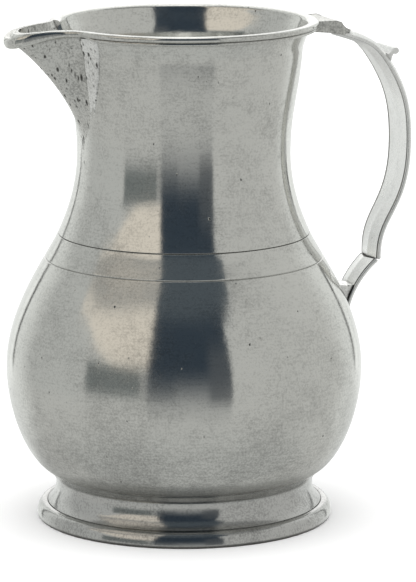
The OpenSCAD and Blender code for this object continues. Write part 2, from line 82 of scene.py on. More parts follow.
def share(name, value, text):
    return FloatProperty(name=name, description=text, default=value, min=0, max=1, subtype="FACTOR")


def colour(name, value, text):
    return FloatVectorProperty(name=name, description=text, default=value, size=3, min=0, max=2,
                               subtype="COLOR")


def top_of(node):
    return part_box(node)[1].z


def foot_of(node):
    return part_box(node)[0].z


def width_of(node):
    return 2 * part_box(node)[1].y


class PitcherVessel(PropertyGroup):
    rim_height: length("Rim height", top_of("neck"), "Height of the rim's top above the table")
    wall: length("Wall", 0.0019, "Thickness of the cast walls")
    lap_height: length("Lap", 0.003, "Height of the step in the joint between two castings")
    base_height: length("Base height", foot_of("lower_bowl"), "Height of the underside on the axis")
    belly_d: length("Belly", width_of("lower_bowl"), "Width of the belly at its widest line")
    belly_height: length("Belly height", foot_of("upper_bowl"), "Height of the belly's widest line")
    shoulder_d: length("Shoulder", 0.113, "Width at the upper incised line, where the neck begins")
    shoulder_height: length("Shoulder height", foot_of("neck"), "Height of the upper incised line")
    line_gap: length("Line gap", 0.0108, "Distance between the two incised lines")
    line_width: length("Line width", 0.0009, "Width of an incised line at the surface")
    line_depth: length("Line depth", 0.00038, "Depth of an incised line")
    waist_d: length("Waist", 0.0956, "Width of the neck at its narrowest")
    waist_rise: length("Waist rise", 0.0366, "Distance from the upper incised line up to the waist")
    flare_d: length("Flare", 0.1047, "Width of the neck where its flare quickens")
    flare_drop: length("Flare drop", 0.020, "Distance from the rim down to where the flare quickens")
    collar_d: length("Collar", 0.112, "Width of the neck under the rim moulding")
    roll_r: length("Roll", 0.00125, "Radius of the roll along the rim's top")
    bead_r: length("Bead", 0.00075, "Radius of the fine bead under the roll")
    mouth_inset: length("Mouth inset", 0.0003, "Width of the neck's edge inside the moulding's")
    mouth_round: length("Mouth rounding", 0.0018, "Radius of the rounding inside the mouth")
    seam_height: length("Foot seam", 0.0225, "Height of the seam between foot and bowl")
    seat_d: length("Foot seat", 0.1232, "Width of the foot at that seam")
    cove_depth: length("Cove depth", 0.0036, "How far the foot's cove draws in below the seam")
    cove_height: length("Cove height", 0.0156, "Height of the cove's narrowest line")
    cove_spread: length("Cove spread", 0.0039, "How far the cove spreads down to the base band")
    band_out: length("Band", 0.0048, "How far the base band stands out from the cove")
    band_height: length("Band height", 0.0071, "Height of the base band")
    foot_wall: length("Foot wall", 0.0021, "Thickness of the foot's wall")
    foot_solder_w: length("Foot solder", 0.0022, "Width of the solder under the bowl")
    wobble: length("Hand wobble", 0.00016, "How far the finished wall strays inwards")
    around: IntProperty(name="Around", description="Steps round the vessel", default=288, min=24)


class PitcherSpout(PropertyGroup):
    reach: length("Reach", -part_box("spout_lip")[0].x, "Distance from the axis to the lip's tip")
    nose_setback: length("Nose setback", 0.0042, "Distance from the lip's tip back to the beak")
    apex_drop: length("Apex drop", 0.0575, "Distance from the rim down to the beak's lowest point")
    beak_half: length("Beak half width", 0.0173, "Half the beak's width at its shoulder")
    shoulder_drop: length("Shoulder drop", 0.020, "Distance from the rim down to that shoulder")
    kink: angle("Kink", 23.5, "Angle from the spout's middle at which the lip leaves the rim")
    kink_run: angle("Kink run", 5.5, "Angle over which the rim moulding turns into the lip")
    tip_drop: length("Tip drop", 0.0042, "How far the lip's top drops from the rim to its tip")
    lip_height: length("Lip height", 0.0026, "Height of the lip beside the rim")
    lip_tip_height: length("Lip tip height", 0.0044, "Height of the lip at its tip")
    solder_w: length("Solder width", 0.0045, "Width of the solder seams beside the spout")
    pit_depth: length("Pit depth", 0.0003, "Depth of the casting pits in the spout")
    pit_size: length("Pit size", 0.0024, "Distance between the casting pits")


class PitcherHandle(PropertyGroup):
    reach: length("Reach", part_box("handle_strap")[1].x, "Distance from the axis to the strap's crown")
    reach_drop: length("Reach drop", 0.060, "Distance from the rim down to that outermost point")
    strap_t: length("Strap thickness", 0.0033, "Thickness of the strap at its crown")
    strap_edge_t: length("Edge thickness", 0.0013, "Thickness of the strap at its edges")
    strap_w: length("Strap width", width_of("handle_strap"), "Width of the strap at its top")
    knee_w: length("Knee width", 0.019, "Width of the strap at the knee")
    chamfer_w: length("Chamfer", 0.003, "Width of the flat strip along the crown's edges")
    knee_inset: length("Knee inset", 0.0171, "Distance from the outermost point in to the knee")
    knee_drop: length("Knee drop", 0.0528, "Distance from the outermost point down to the knee")
    set_out: length("Strap start", 0.00975, "Distance from the rim out to the strap's hidden end")
    start_drop: length("Start drop", 0.0081, "Distance from the rim down to the strap's inner face")
    ridge: length("Ridge", 0.00135, "Depth of the ridge along the inner face")
    root_drop: length("Root drop", 0.0021, "Distance from the rim down to the root block's top")
    strut_w: length("Strut width", 0.0175, "Width of the strut at the knee")
    strut_end_w: length("Strut end width", 0.0145, "Width of the strut at the belly")
    strut_drop: length("Strut drop", 0.0212, "Distance from the knee down to the strut's foot")
    thumb_half: length("Thumb rest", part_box("thumb_rest")[1].y, "Half the thumb rest's length")
    thumb_r: length("Thumb bar", 0.00145, "Radius of the thumb rest's rolled edge")
    thumb_stand: length("Thumb stand", 0.0034, "How far that edge stands out from the strap")
    edge_round: length("Edge rounding", 0.00035, "Radius of the worn edges")


class PitcherFinish(PropertyGroup):
    pewter: colour("Pewter", (0.69, 0.69, 0.66), "Colour that the pewter reflects")
    foot: colour("Foot pewter", (0.55, 0.55, 0.535), "Colour that the foot's pewter reflects")
    spout: colour("Spout pewter", (0.70, 0.70, 0.67), "Colour that the rough spout reflects")
    # Much lighter than the vessel's pewter: this paints on the handle the light that it catches
    strap: colour("Handle pewter", (0.93, 0.93, 0.915), "Colour that the worn handle reflects")
    solder: colour("Solder", (0.94, 0.94, 0.92), "Colour that the solder reflects")
    # The colour of the dirt in pits and of the painted shade in corners
    grime_and_shade: colour("Grime", (0.075, 0.072, 0.068), "Colour of what sits in pits and corners")
    roughness: share("Roughness", 0.128, "How soft the reflections are")
    line_pitch: length("Lathe line pitch", 0.00042, "Distance between the lathe's lines")
    line_relief: length("Lathe line relief", 0.000004, "Height of the lathe's lines")


class PitcherStudio(PropertyGroup):
    camera_distance: length("Camera distance", 1.8098, "From the camera to the pitcher's axis")
    camera_aside: length("Camera aside", 0.0108, "How far the camera stands to the right")
    camera_height: length("Camera height", 0.4607, "Height of the camera above the table")
    camera_turn: angle("Camera turn", 21.34, "Turn of the view from straight along +Y towards +X")
    camera_dip: angle("Camera dip", 11.2, "How far the camera looks down")
    focal_length: FloatProperty(name="Focal length", default=253.9, unit="CAMERA",
                                description="Focal length on a sensor 36 mm high")
    table_light: share("Table light", 1.0, "Brightness of the light that falls on the table")
    pale: colour("Pale", (0.60, 0.605, 0.59), "What the metal mirrors where no card stands")
    warm: colour("Warm card", (0.86, 0.795, 0.705), "Colour of the warm card on the left")
    dark: colour("Dark card", (0.040, 0.056, 0.076), "Colour of the dark card in front")
    shade: colour("Shaded cards", (0.19, 0.21, 0.21), "Colour of the shaded cards on the left")
    bright: colour("Bright cards", (1.35, 1.35, 1.34), "Colour of the cards behind and above")


# Curves

# The least turn that is a corner, and how its rounding is made
CORNER_TURN = radians(24)
CORNER_SHARE = 0.42
CORNER_STEPS = 4


def heading(degrees):
    return np.array([cos(radians(degrees)), sin(radians(degrees))])


def cubic(a, b, c, d, t):
    return a * (1 - t) ** 3 + 3 * b * t * (1 - t) ** 2 + 3 * c * t * t * (1 - t) + d * t ** 3


def smooth(low, high, value):
    t = np.clip((value - low) / (high - low), 0, 1)
    return t * t * (3 - 2 * t)


def mix(a, b, t):
    return a + (b - a) * t


def bend(a, b, c, t):
    return (1 - t) ** 2 * a + 2 * t * (1 - t) * b + t * t * c


def curve(a, b, c, d, steps):
    """Points from a to d along a curve that leaves towards b and arrives from c."""
    return [cubic(a, b, c, d, t) for t in np.linspace(0, 1, steps + 1)]


def unit(vector):
    return vector / np.linalg.norm(vector)


class Line:
    """A chain of stations (across, up, heading) joined by smooth curves. The pulls
    are the lengths of each curve's two handles, as shares of its chord."""

    def __init__(self, stations, pull_shares):
        self.controls = []
        for start, end, (leave, arrive) in zip(stations, stations[1:], pull_shares):
            a, d = np.array(start[:2]), np.array(end[:2])
            chord = np.linalg.norm(d - a)
            b = a + leave * chord * heading(start[2])
            c = d - arrive * chord * heading(end[2])
            self.controls.append((a, b, c, d))

    def way(self, stretch, t):
        a, b, c, d = self.controls[stretch]
        t = np.asarray(t, float)[..., None]
        way = (b - a) * (1 - t) ** 2 + 2 * (c - b) * t * (1 - t) + (d - c) * t * t
        return way / np.linalg.norm(way, axis=-1, keepdims=True)

    def left(self, stretch, t):
        way = self.way(stretch, t)
        return np.stack([-way[..., 1], way[..., 0]], -1)

    def on(self, stretch, t, inset=0.0):
        """Points at shares t of a stretch, set in to the left of the way it runs."""
        a, b, c, d = self.controls[stretch]
        return cubic(a, b, c, d, np.asarray(t, float)[..., None]) + inset * self.left(stretch, t)

    def run(self, stretch, start, end, steps, inset=0.0):
        return self.on(stretch, np.linspace(start, end, steps + 1), inset)

    def find(self, stretch, axis, value, inset=0.0):
        """Share of a stretch at which a coordinate that grows along it has a value."""
        t = np.linspace(0, 1, 4001)
        return np.interp(value, self.on(stretch, t, inset)[:, axis], t)


def arc(centre, r, start, end, steps):
    return np.array([np.array(centre) + r * heading(a) for a in np.linspace(start, end, steps + 1)])


def eased(points, setback):
    """An open outline with its sharp corners rounded."""
    points = np.array(points, float)
    out = [points[0]]
    for before, corner, after in zip(points, points[1:], points[2:]):
        into, out_of = corner - before, after - corner
        long_in, long_out = np.linalg.norm(into), np.linalg.norm(out_of)
        turn = np.arccos(np.clip(into @ out_of / (long_in * long_out), -1, 1))
        if turn < CORNER_TURN:
            out.append(corner)
            continue
        back = min(setback, CORNER_SHARE * long_in, CORNER_SHARE * long_out)
        start, end = corner - into / long_in * back, corner + out_of / long_out * back
        out += [bend(start, corner, end, t) for t in np.linspace(0, 1, CORNER_STEPS + 1)]
    out.append(points[-1])
    return np.array(out)


# Lines of the vessel

UNDER, BOWL, SHOULDER, NAPE, THROAT, FLARE = range(6)
# Angles from level at which the outline runs, in degrees
SEAT_ANGLE, SHOULDER_ANGLE, FLARE_ANGLE, COLLAR_ANGLE = 27, 114, 83, 68
UPRIGHT = 90
COVE_TOP_ANGLE, COVE_FOOT_ANGLE, BAND_TOP_ANGLE = -125, -42, 8
VESSEL_PULL_SHARES = [(0.60, 0.12), (0.23, 0.39), (0.40, 0.18), (0.21, 0.44), (0.39, 0.38),
                      (0.60, 0.60)]
COVE_PULL_SHARES = [(0.30, 0.45), (0.45, 0.30)]
BAND_PULL_SHARES = [(0.45, 0.35)]
# How far a worn corner is set back
WORN = 0.00022
# How thick solder is at its edge, and how deep the sides lie that another piece hides
THIN = 0.0002
BURIED = 0.0006


class Vessel:
    """The vessel's lines and turned outlines, as (distance from the axis, height)."""

    def __init__(self, sizes):
        self.sizes = sizes
        self.rim = sizes.rim_height
        self.collar_r = sizes.collar_d / 2
        self.moulding_height = 2 * (sizes.roll_r + sizes.bead_r)
        self.collar = self.rim - self.moulding_height
        self.collar_top_r = self.collar_r + self.moulding_height / tan(radians(COLLAR_ANGLE))
        self.rim_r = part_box("rim_moulding")[1].x
        self.line = Line([
            (0, sizes.base_height, 0),
            (sizes.seat_d / 2, sizes.seam_height, SEAT_ANGLE),
            (sizes.belly_d / 2, sizes.belly_height, UPRIGHT),
            (sizes.shoulder_d / 2, sizes.shoulder_height, SHOULDER_ANGLE),
            (sizes.waist_d / 2, sizes.shoulder_height + sizes.waist_rise, UPRIGHT),
            (sizes.flare_d / 2, self.rim - sizes.flare_drop, FLARE_ANGLE),
            (self.collar_r, self.collar, COLLAR_ANGLE),
        ], VESSEL_PULL_SHARES)
        self.outside = self.table(0)
        self.inside = self.table(sizes.wall)

    def table(self, inset):
        """Radius and height along the neck's outside, or its inside."""
        t = np.linspace(0, 1, 1500)
        rows = np.concatenate([self.line.on(i, t, inset) for i in (NAPE, THROAT, FLARE)])
        slope = np.array([1 / tan(radians(COLLAR_ANGLE)), 1])
        return np.concatenate([rows, [rows[-1] + slope * self.moulding_height]])

    def neck_r(self, height):
        return np.interp(height, self.outside[:, 1], self.outside[:, 0])

    def neck_inner_r(self, height):
        return np.interp(height, self.inside[:, 1], self.inside[:, 0])

    def tongue(self, stretch, height):
        """The joint between two castings: the lower one keeps a tongue inside."""
        wall, top = self.sizes.wall, height + self.sizes.lap_height
        middle = [self.line.find(stretch, 1, h, wall / 2) for h in (height, top)]
        end = self.line.find(stretch, 1, top, wall)
        return np.concatenate([self.line.run(stretch, *middle, 3, wall / 2),
                               [self.line.on(stretch, end, wall)]])

    def groove_half(self, stretch):
        ends = self.line.on(stretch, 0) - self.line.on(stretch, 1)
        return self.sizes.line_width / 2 / np.linalg.norm(ends)

    def foot_lines(self):
        s = self.sizes
        cove_r = s.seat_d / 2 - s.cove_depth
        spread_r = cove_r + s.cove_spread
        foot_r = spread_r + s.band_out
        cove = Line([(s.seat_d / 2, s.seam_height, COVE_TOP_ANGLE),
                     (cove_r, s.cove_height, -UPRIGHT),
                     (spread_r, s.band_height, COVE_FOOT_ANGLE)], COVE_PULL_SHARES)
        band = Line([(spread_r + s.line_depth, s.band_height, BAND_TOP_ANGLE),
                     (foot_r, s.band_height / 5, -UPRIGHT)], BAND_PULL_SHARES)
        return cove_r, spread_r, foot_r, cove, band

    def foot_ring(self):
        s, line = self.sizes, self.line
        cove_r, spread_r, foot_r, cove, band = self.foot_lines()
        inner_r = cove_r - s.foot_wall
        contact = line.find(UNDER, 0, inner_r)
        bevel = foot_r - s.band_height / 10
        crease = (spread_r - s.line_depth, s.band_height - s.line_width / 2)
        outside = eased(np.concatenate([
            line.run(UNDER, 0.985, 0.999, 1), cove.run(0, 0, 1, 16), cove.run(1, 0.05, 1, 20),
            [crease], band.run(0, 0, 1, 22), [(bevel, 0), (bevel - 2 * s.foot_wall, 0)]]), WORN)
        inside = np.concatenate([
            cove.run(1, 0.15, 0.8, 6, -s.foot_wall)[::-1], [(inner_r, s.cove_height)],
            line.run(UNDER, contact, 0.985, 3)])
        return np.concatenate([outside, inside])

    def foot_solder(self):
        s, line = self.sizes, self.line
        cove_r = s.seat_d / 2 - s.cove_depth
        inner_r = cove_r - s.foot_wall
        edges = [line.find(UNDER, 0, inner_r - s.foot_solder_w), line.find(UNDER, 0, inner_r)]
        corner = line.on(UNDER, edges[1])
        start, low = line.on(UNDER, edges[0]), corner - [0, s.foot_solder_w]
        fillet = curve(low, low + [0, s.foot_solder_w * 0.6], corner - [s.foot_solder_w * 0.4, THIN],
                       start, 6)
        return np.concatenate([line.run(UNDER, *edges, 3), fillet])

    def lower_bowl(self):
        s, line = self.sizes, self.line
        lap_end = line.find(SHOULDER, 1, s.belly_height + s.lap_height, s.wall)
        return np.concatenate([
            line.run(UNDER, 0, 0.999, 40), line.run(BOWL, 0.004, 1, 110),
            self.tongue(SHOULDER, s.belly_height),
            line.run(SHOULDER, 0, lap_end / 2, 1, s.wall)[::-1],
            line.run(BOWL, 0.05, 0.97, 60, s.wall)[::-1],
            line.run(UNDER, 0, 0.9, 30, s.wall)[::-1]])

    def upper_bowl(self):
        s, line = self.sizes, self.line
        half = self.groove_half(SHOULDER)
        groove = line.find(SHOULDER, 1, s.shoulder_height - s.line_gap)
        lap_end = line.find(SHOULDER, 1, s.belly_height + s.lap_height, s.wall)
        outside = eased(np.concatenate([
            line.run(SHOULDER, 0, groove - half, 84), [line.on(SHOULDER, groove, s.line_depth)],
            line.run(SHOULDER, groove + half, 1 - half, 16),
            [line.on(SHOULDER, 1, s.line_depth)]]), WORN / 2)
        return np.concatenate([
            outside, self.tongue(NAPE, s.shoulder_height),
            line.run(SHOULDER, lap_end, 1, 60, s.wall)[::-1],
            self.tongue(SHOULDER, s.belly_height)[::-1]])

    def moulding(self):
        """The rim moulding's face, from under its bead to the roll's top."""
        s = self.sizes
        roll = (self.rim_r - s.roll_r, self.rim - s.roll_r)
        bead = (roll[0] + s.roll_r / 2 - s.bead_r, self.collar + s.bead_r)
        return np.concatenate([arc(bead, s.bead_r, -90, 50, 9), arc(roll, s.roll_r, -50, 90, 13)])

    def rim_moulding(self):
        return np.concatenate([[(self.collar_r, self.collar)], self.moulding(),
                               [(self.collar_top_r, self.rim)]])


# Lines of the spout

# Where the handles of a level line lie: a share of its span, a share of its half width,
# and how much the latter changes up to the rim
FLANK_PULL = (0.29, 0.70, -0.37)
NOSE_PULL = (0.965, 0.33, 0.34)
# The wall of the beak at its nose and its flanks, as shares of the vessel's wall
NOSE_WALL = 1.3
FLANK_WALL = 1.25
# The share of the beak's height at which the neck's cut begins
CUT_SHARE = 2 / 11


class Beak:
    """The spout's lines, with x as the distance from the axis towards the spout."""

    def __init__(self, sizes, vessel):
        self.sizes, self.vessel = sizes, vessel
        self.rim, self.wall = vessel.rim, vessel.sizes.wall
        self.kink = sizes.kink
        self.nose_reach = sizes.reach - sizes.nose_setback
        self.apex = self.rim - sizes.apex_drop
        self.shoulder = self.rim - sizes.shoulder_drop
        root = vessel.rim_r * cos(self.kink)
        tip_top = self.rim - sizes.tip_drop
        self.lip_top = Line([(root, self.rim, 0), (sizes.reach, tip_top, -30)], [(0.50, 0.18)])
        self.lip_bottom = Line([(root, self.rim - sizes.lip_height, 0),
                                (sizes.reach, tip_top - sizes.lip_tip_height, -18)], [(0.40, 0.22)])
        nose_height = float(self.edge_z(self.lip_bottom, self.nose_reach))
        ridge_foot = self.apex + self.wall
        self.ridge = Line([(float(vessel.neck_r(ridge_foot)), ridge_foot, 91),
                           (self.nose_reach, nose_height, 37)], [(0.27, 0.31)])
        self.edge = Line([(0, self.apex, 14), (sizes.beak_half, self.shoulder, 82),
                          (vessel.collar_top_r * sin(self.kink), self.rim, 66)],
                         [(0.15, 0.42), (0.45, 0.25)])
        self.low_ring = self.apex + 1.2 * self.wall

    def edge_z(self, edge, x):
        return edge.on(0, edge.find(0, 0, x))[..., 1]

    def edge_half(self, height):
        if height > self.vessel.collar:
            return float(self.vessel.neck_r(height)) * sin(self.kink)
        stretch = 0 if height < self.shoulder else 1
        return float(self.edge.on(stretch, self.edge.find(stretch, 1, height))[0])

    def inner_half(self, height):
        return max(self.edge_half(height) - FLANK_WALL * self.wall, self.wall / 4)

    def level(self, height, x):
        """Height of one of the beak's level lines, which sink towards the nose."""
        edge = self.rim - self.sizes.lip_height
        if height > self.rim - self.sizes.lip_height / 2:
            return self.edge_z(self.lip_top, x)
        sinking = (max(0, height - self.shoulder) / (edge - self.shoulder)) ** 2
        return height - sinking * (edge - self.edge_z(self.lip_bottom, x))

    def reach_at(self, height):
        if height > self.vessel.collar:
            return self.nose_reach
        ridge = self.ridge.run(0, 0, 1, 2000)
        above = ridge[:, 1] >= self.level(height, ridge[:, 0])
        return float(ridge[np.argmax(above), 0]) if above.any() else self.nose_reach

    def level_line(self, height, reach, half, steps):
        """From the neck round the nose and back, as rows of (-x, y, z)."""
        u = (height - self.apex) / (self.rim - self.apex)
        start = np.sqrt(float(self.vessel.neck_r(height)) ** 2 - half * half)
        span = max(reach - start, self.wall / 9)
        a, d = np.array([start, half]), np.array([start + span, 0])
        b, c = [np.array([start + span * along, half * (out + growth * u * u)])
                for along, out, growth in (FLANK_PULL, NOSE_PULL)]
        flank = cubic(a, b, c, d, np.linspace(0, 1, steps + 1)[:, None])
        side = np.column_stack([-flank[:, 0], flank[:, 1], self.level(height, flank[:, 0])])
        return np.concatenate([side, side[-2::-1] * [1, -1, 1]])

    def sheets(self, rows, steps):
        """The beak's outer and inner sheets of points, level line by level line."""
        heights = np.concatenate([np.linspace(self.low_ring, self.vessel.collar, rows),
                                  [self.rim - self.sizes.lip_height, self.rim]])
        reaches = [self.reach_at(h) for h in heights]
        outer = [self.level_line(h, r, self.edge_half(h), steps) for h, r in zip(heights, reaches)]
        inner = [self.level_line(h, r - NOSE_WALL * self.wall, self.inner_half(h), steps)
                 for h, r in zip(heights, reaches)]
        return np.array(outer), np.array(inner)

    def opening_half(self, heights):
        """Half the width of the neck's cut behind the beak at each height."""
        first = self.low_ring + (self.vessel.collar - self.low_ring) * CUT_SHARE
        out = []
        for height in heights:
            grown = np.clip((height - first) / self.wall + 1, 0, 1)
            out.append(grown * self.inner_half(max(height, first)))
        return np.array(out)


# Meshes

def grid_faces(rows, columns, wrap=False):
    """Four-sided faces between rows of points, with the last point joined to the
    first where the rows are rings."""
    across = np.arange(columns if wrap else columns - 1)
    start = np.arange(rows - 1)[:, None] * columns
    a, b = start + across, start + (across + 1) % columns
    return np.stack([a, a + columns, b + columns, b], -1).reshape(-1, 4)


def new_object(name, points, faces=(), edges=()):
    mesh = bpy.data.meshes.new(name)
    mesh.from_pydata(np.asarray(points).tolist(), [list(e) for e in edges], [list(f) for f in faces])
    piece = bpy.data.objects.new(name, mesh)
    bpy.context.scene.collection.objects.link(piece)
    return piece


def bake(piece):
    """Turns an object with its modifiers into a plain mesh."""
    graph = bpy.context.evaluated_depsgraph_get()
    graph.update()
    mesh = bpy.data.meshes.new_from_object(piece.evaluated_get(graph))
    piece.modifiers.clear()
    piece.data = mesh


def close_up(piece, crease=32):
    """Merges doubles, closes open ends, and turns every face outwards."""
    shape = bmesh.new()
    shape.from_mesh(piece.data)
    bmesh.ops.remove_doubles(shape, verts=shape.verts, dist=DOUBLE)
    bmesh.ops.dissolve_degenerate(shape, edges=shape.edges, dist=SLIVER)
    bmesh.ops.holes_fill(shape, edges=[e for e in shape.edges if e.is_boundary])
    bmesh.ops.recalc_face_normals(shape, faces=shape.faces)
    if shape.calc_volume(signed=True) < 0:
        bmesh.ops.reverse_faces(shape, faces=shape.faces)
    shape.to_mesh(piece.data)
    shape.free()
    piece.data.shade_smooth()
    piece.data.set_sharp_from_angle(angle=radians(crease))


def finish_piece(piece, material, slot, *nodes):
    piece.data.materials.clear()
    piece.data.materials.append(material)
    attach(piece, "root")
    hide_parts(*nodes)


def skin(name, rings, edge_round=0.0):
    """A solid over rings of equally many points, closed at both ends."""
    rings = np.array(rings)
    count, size = rings.shape[:2]
    faces = [list(face) for face in grid_faces(count, size, wrap=True)]
    faces += [list(range(size)), list(range((count - 1) * size, count * size))]
    piece = new_object(name, rings.reshape(-1, 3), faces)
    if edge_round:
        bevel = piece.modifiers.new("Worn edges", "BEVEL")
        bevel.width = edge_round
        bevel.segments = 3
        bevel.limit_method = "ANGLE"
        bevel.angle_limit = radians(50)
        bake(piece)
    return piece


def solid(node, rings, material, slot, crease=40, edge_round=0.0):
    """A finished piece that is one solid over rings of points."""
    piece = skin(node + "_finished", rings, edge_round)
    close_up(piece, crease)
    finish_piece(piece, material, slot, node)


# Cells to a metre: the field by which walls stray, then a metal's marks and its dents
WOBBLE_SCALE = 24.0
CLOUD_SCALE, BLOTCH_SCALE, GRAIN_SCALE = 30.0, 210.0, 1100.0
DENT_SCALE, DISH_SCALE = 560.0, 150.0
# The warp of the dents, their depth, the reach of the painted shade in corners, and how
# much of a metal's colour is left in its darkest marks
DENT_WARP = 0.35
DENT_DEPTH = 0.00012
CORNER_SHADE_REACH = 0.0022
DARKEST_SHARE = 0.36
# The share of cells without a pit, the pits' widest radius, and the grain beside them
CELLS_WITHOUT = 0.45
PIT_RADIUS = 0.30
PIT_GRAIN = 0.55
PIT_GRAIN_SCALE = 3.2
# Takes the height out of a place
LEVEL = (1.0, 1.0, 0.0)


# Node trees

class Nodes:
    """A node tree with short ways to add to it. Inputs are values or other nodes' sockets."""

    def __init__(self, tree):
        self.tree = tree

    def set(self, socket, value):
        if isinstance(value, bpy.types.NodeSocket):
            self.tree.links.new(value, socket)
        else:
            socket.default_value = value

    def add(self, kind, *inputs, named=None, **settings):
        node = self.tree.nodes.new(kind)
        for key, value in settings.items():
            setattr(node, key, value)
        enabled = [socket for socket in node.inputs if socket.enabled]
        for socket, value in zip(enabled, inputs):
            self.set(socket, value)
        for key, value in (named or {}).items():
            self.set(next(socket for socket in enabled if socket.name == key), value)
        return node

    def maths(self, operation, *inputs):
        return self.add("ShaderNodeMath", *inputs, operation=operation).outputs[0]

    def times(self, first, *others):
        for other in others:
            first = self.maths("MULTIPLY", first, other)
        return first

    def plus(self, first, *others):
        for other in others:
            first = self.maths("ADD", first, other)
        return first

    def minus(self, a, b):
        return self.maths("SUBTRACT", a, b)

    def vectors(self, operation, *inputs):
        node = self.add("ShaderNodeVectorMath", *inputs, operation=operation)
        return node.outputs["Value" if operation in ("DOT_PRODUCT", "LENGTH") else "Vector"]

    def scaled(self, vector, amount):
        return self.add("ShaderNodeVectorMath", vector, named={"Scale": amount},
                        operation="SCALE").outputs["Vector"]

    def split(self, vector):
        return self.add("ShaderNodeSeparateXYZ", vector).outputs

    def join(self, x, y, z):
        return self.add("ShaderNodeCombineXYZ", x, y, z).outputs[0]

    def ease(self, value, low, high, start=0.0, end=1.0):
        """A smooth step of a value from start at low to end at high."""
        return self.add("ShaderNodeMapRange", value, low, high, start, end,
                        interpolation_type="SMOOTHSTEP").outputs[0]

    def blend(self, amount, a, b):
        mixed = self.add("ShaderNodeMix", amount, a, b, data_type="RGBA")
        return next(socket for socket in mixed.outputs if socket.enabled)

    def noise(self, vector, scale, detail=2.0, roughness=0.5, w=None, output=0):
        named = {"Vector": vector, "Scale": scale, "Detail": detail, "Roughness": roughness}
        if w is None:
            return self.add("ShaderNodeTexNoise", named=named).outputs[output]
        return self.add("ShaderNodeTexNoise", noise_dimensions="4D",
                        named={**named, "W": w}).outputs[output]


def geometry_nodes(name, *inputs):
    """A new group of geometry nodes, and the outputs of its input node."""
    tree = bpy.data.node_groups.new(name, "GeometryNodeTree")
    tree.interface.new_socket("Geometry", in_out="INPUT", socket_type="NodeSocketGeometry")
    for title, kind, value in inputs:
        socket = tree.interface.new_socket(title, in_out="INPUT", socket_type="NodeSocket" + kind)
        if value is not None:
            socket.default_value = value
    tree.interface.new_socket("Geometry", in_out="OUTPUT", socket_type="NodeSocketGeometry")
    nodes = Nodes(tree)
    return nodes, nodes.add("NodeGroupInput").outputs


def wobble_tree():
    """Strays inwards from the true round by a field that neighbours share."""
    nodes, given = geometry_nodes("Hand wobble", ("Stray", "Float", 0.0002), ("Seed", "Float", 3.0))
    place = nodes.add("GeometryNodeInputPosition").outputs[0]
    inwards = nodes.vectors("NORMALIZE", nodes.vectors("MULTIPLY", place, LEVEL))
    field = nodes.noise(place, WOBBLE_SCALE, 1.0, w=given["Seed"])
    offset = nodes.scaled(inwards, nodes.times(field, given["Stray"], -1.0))
    moved = nodes.add("GeometryNodeSetPosition", given["Geometry"], named={"Offset": offset})
    nodes.add("NodeGroupOutput", moved.outputs[0])


def end_geometry(nodes, geometry, given):
    """The end that every tree shares: worn wobble, real mesh, and the material."""
    wobble = nodes.add("GeometryNodeGroup", node_tree=bpy.data.node_groups["Hand wobble"],
                       named={"Geometry": geometry, "Stray": given["Stray"]})
    real = nodes.add("GeometryNodeRealizeInstances", wobble.outputs[0])
    dressed = nodes.add("GeometryNodeSetMaterial", real.outputs[0],
                        named={"Material": given["Material"]})
    nodes.add("NodeGroupOutput", dressed.outputs[0])


def turned_wall_tree():
    """Carries an outline of points (distance, 0, height) round the axis."""
    nodes, given = geometry_nodes(
        "Turned wall", ("Around", "Int", 288), ("Start", "Float", 0.0), ("Sweep", "Float", 2 * pi),
        ("Stray", "Float", 0.0), ("Material", "Material", None))
    count = nodes.add("GeometryNodeAttributeDomainSize", given["Geometry"]).outputs["Point Count"]
    grid = nodes.add("GeometryNodeMeshGrid", named={
        "Vertices X": nodes.plus(given["Around"], 1.0), "Vertices Y": count})
    index = nodes.add("GeometryNodeInputIndex").outputs[0]
    column = nodes.maths("FLOOR", nodes.maths("DIVIDE", index, count))
    row = nodes.minus(index, nodes.times(column, count))
    place = nodes.add("GeometryNodeInputPosition").outputs[0]
    outline = nodes.add("GeometryNodeSampleIndex", data_type="FLOAT_VECTOR", domain="POINT", named={
        "Geometry": given["Geometry"], "Value": place, "Index": row}).outputs[0]
    spot = nodes.split(outline)
    share_round = nodes.maths("DIVIDE", column, given["Around"])
    turn = nodes.plus(nodes.times(share_round, given["Sweep"]), given["Start"])
    x, y = [nodes.times(spot[0], nodes.maths(wave, turn)) for wave in ("COSINE", "SINE")]
    wall = nodes.add("GeometryNodeSetPosition", grid.outputs["Mesh"],
                     named={"Position": nodes.join(x, y, spot[2])})
    end_geometry(nodes, wall.outputs[0], given)


def cast_pits_tree():
    """Sinks pits and a grain into a casting's skin where its pitting is above nil."""
    nodes, given = geometry_nodes(
        "Cast pits", ("Depth", "Float", 0.0002), ("Size", "Float", 0.0034),
        ("Stray", "Float", 0.0), ("Material", "Material", None))
    place = nodes.add("GeometryNodeInputPosition").outputs[0]
    frequency = nodes.maths("DIVIDE", 1.0, given["Size"])
    cells = nodes.add("ShaderNodeTexVoronoi", named={"Vector": place, "Scale": frequency}).outputs
    pick = nodes.split(cells["Color"])[0]
    radius = nodes.times(nodes.maths("POWER", pick, 2.5), PIT_RADIUS)
    pit = nodes.times(nodes.ease(nodes.minus(cells["Distance"], radius), -0.12, 0.10, 1.0, 0.0),
                      nodes.maths("GREATER_THAN", pick, CELLS_WITHOUT))
    grain = nodes.noise(place, nodes.times(frequency, PIT_GRAIN_SCALE))
    mask = nodes.add("GeometryNodeInputNamedAttribute", "pitting", data_type="FLOAT").outputs[0]
    sink = nodes.times(nodes.plus(pit, nodes.times(grain, PIT_GRAIN)), mask, given["Depth"], -1.0)
    normal = nodes.add("GeometryNodeInputNormal").outputs[0]
    moved = nodes.add("GeometryNodeSetPosition", given["Geometry"],
                      named={"Offset": nodes.scaled(normal, sink)})
    end_geometry(nodes, moved.outputs[0], given)


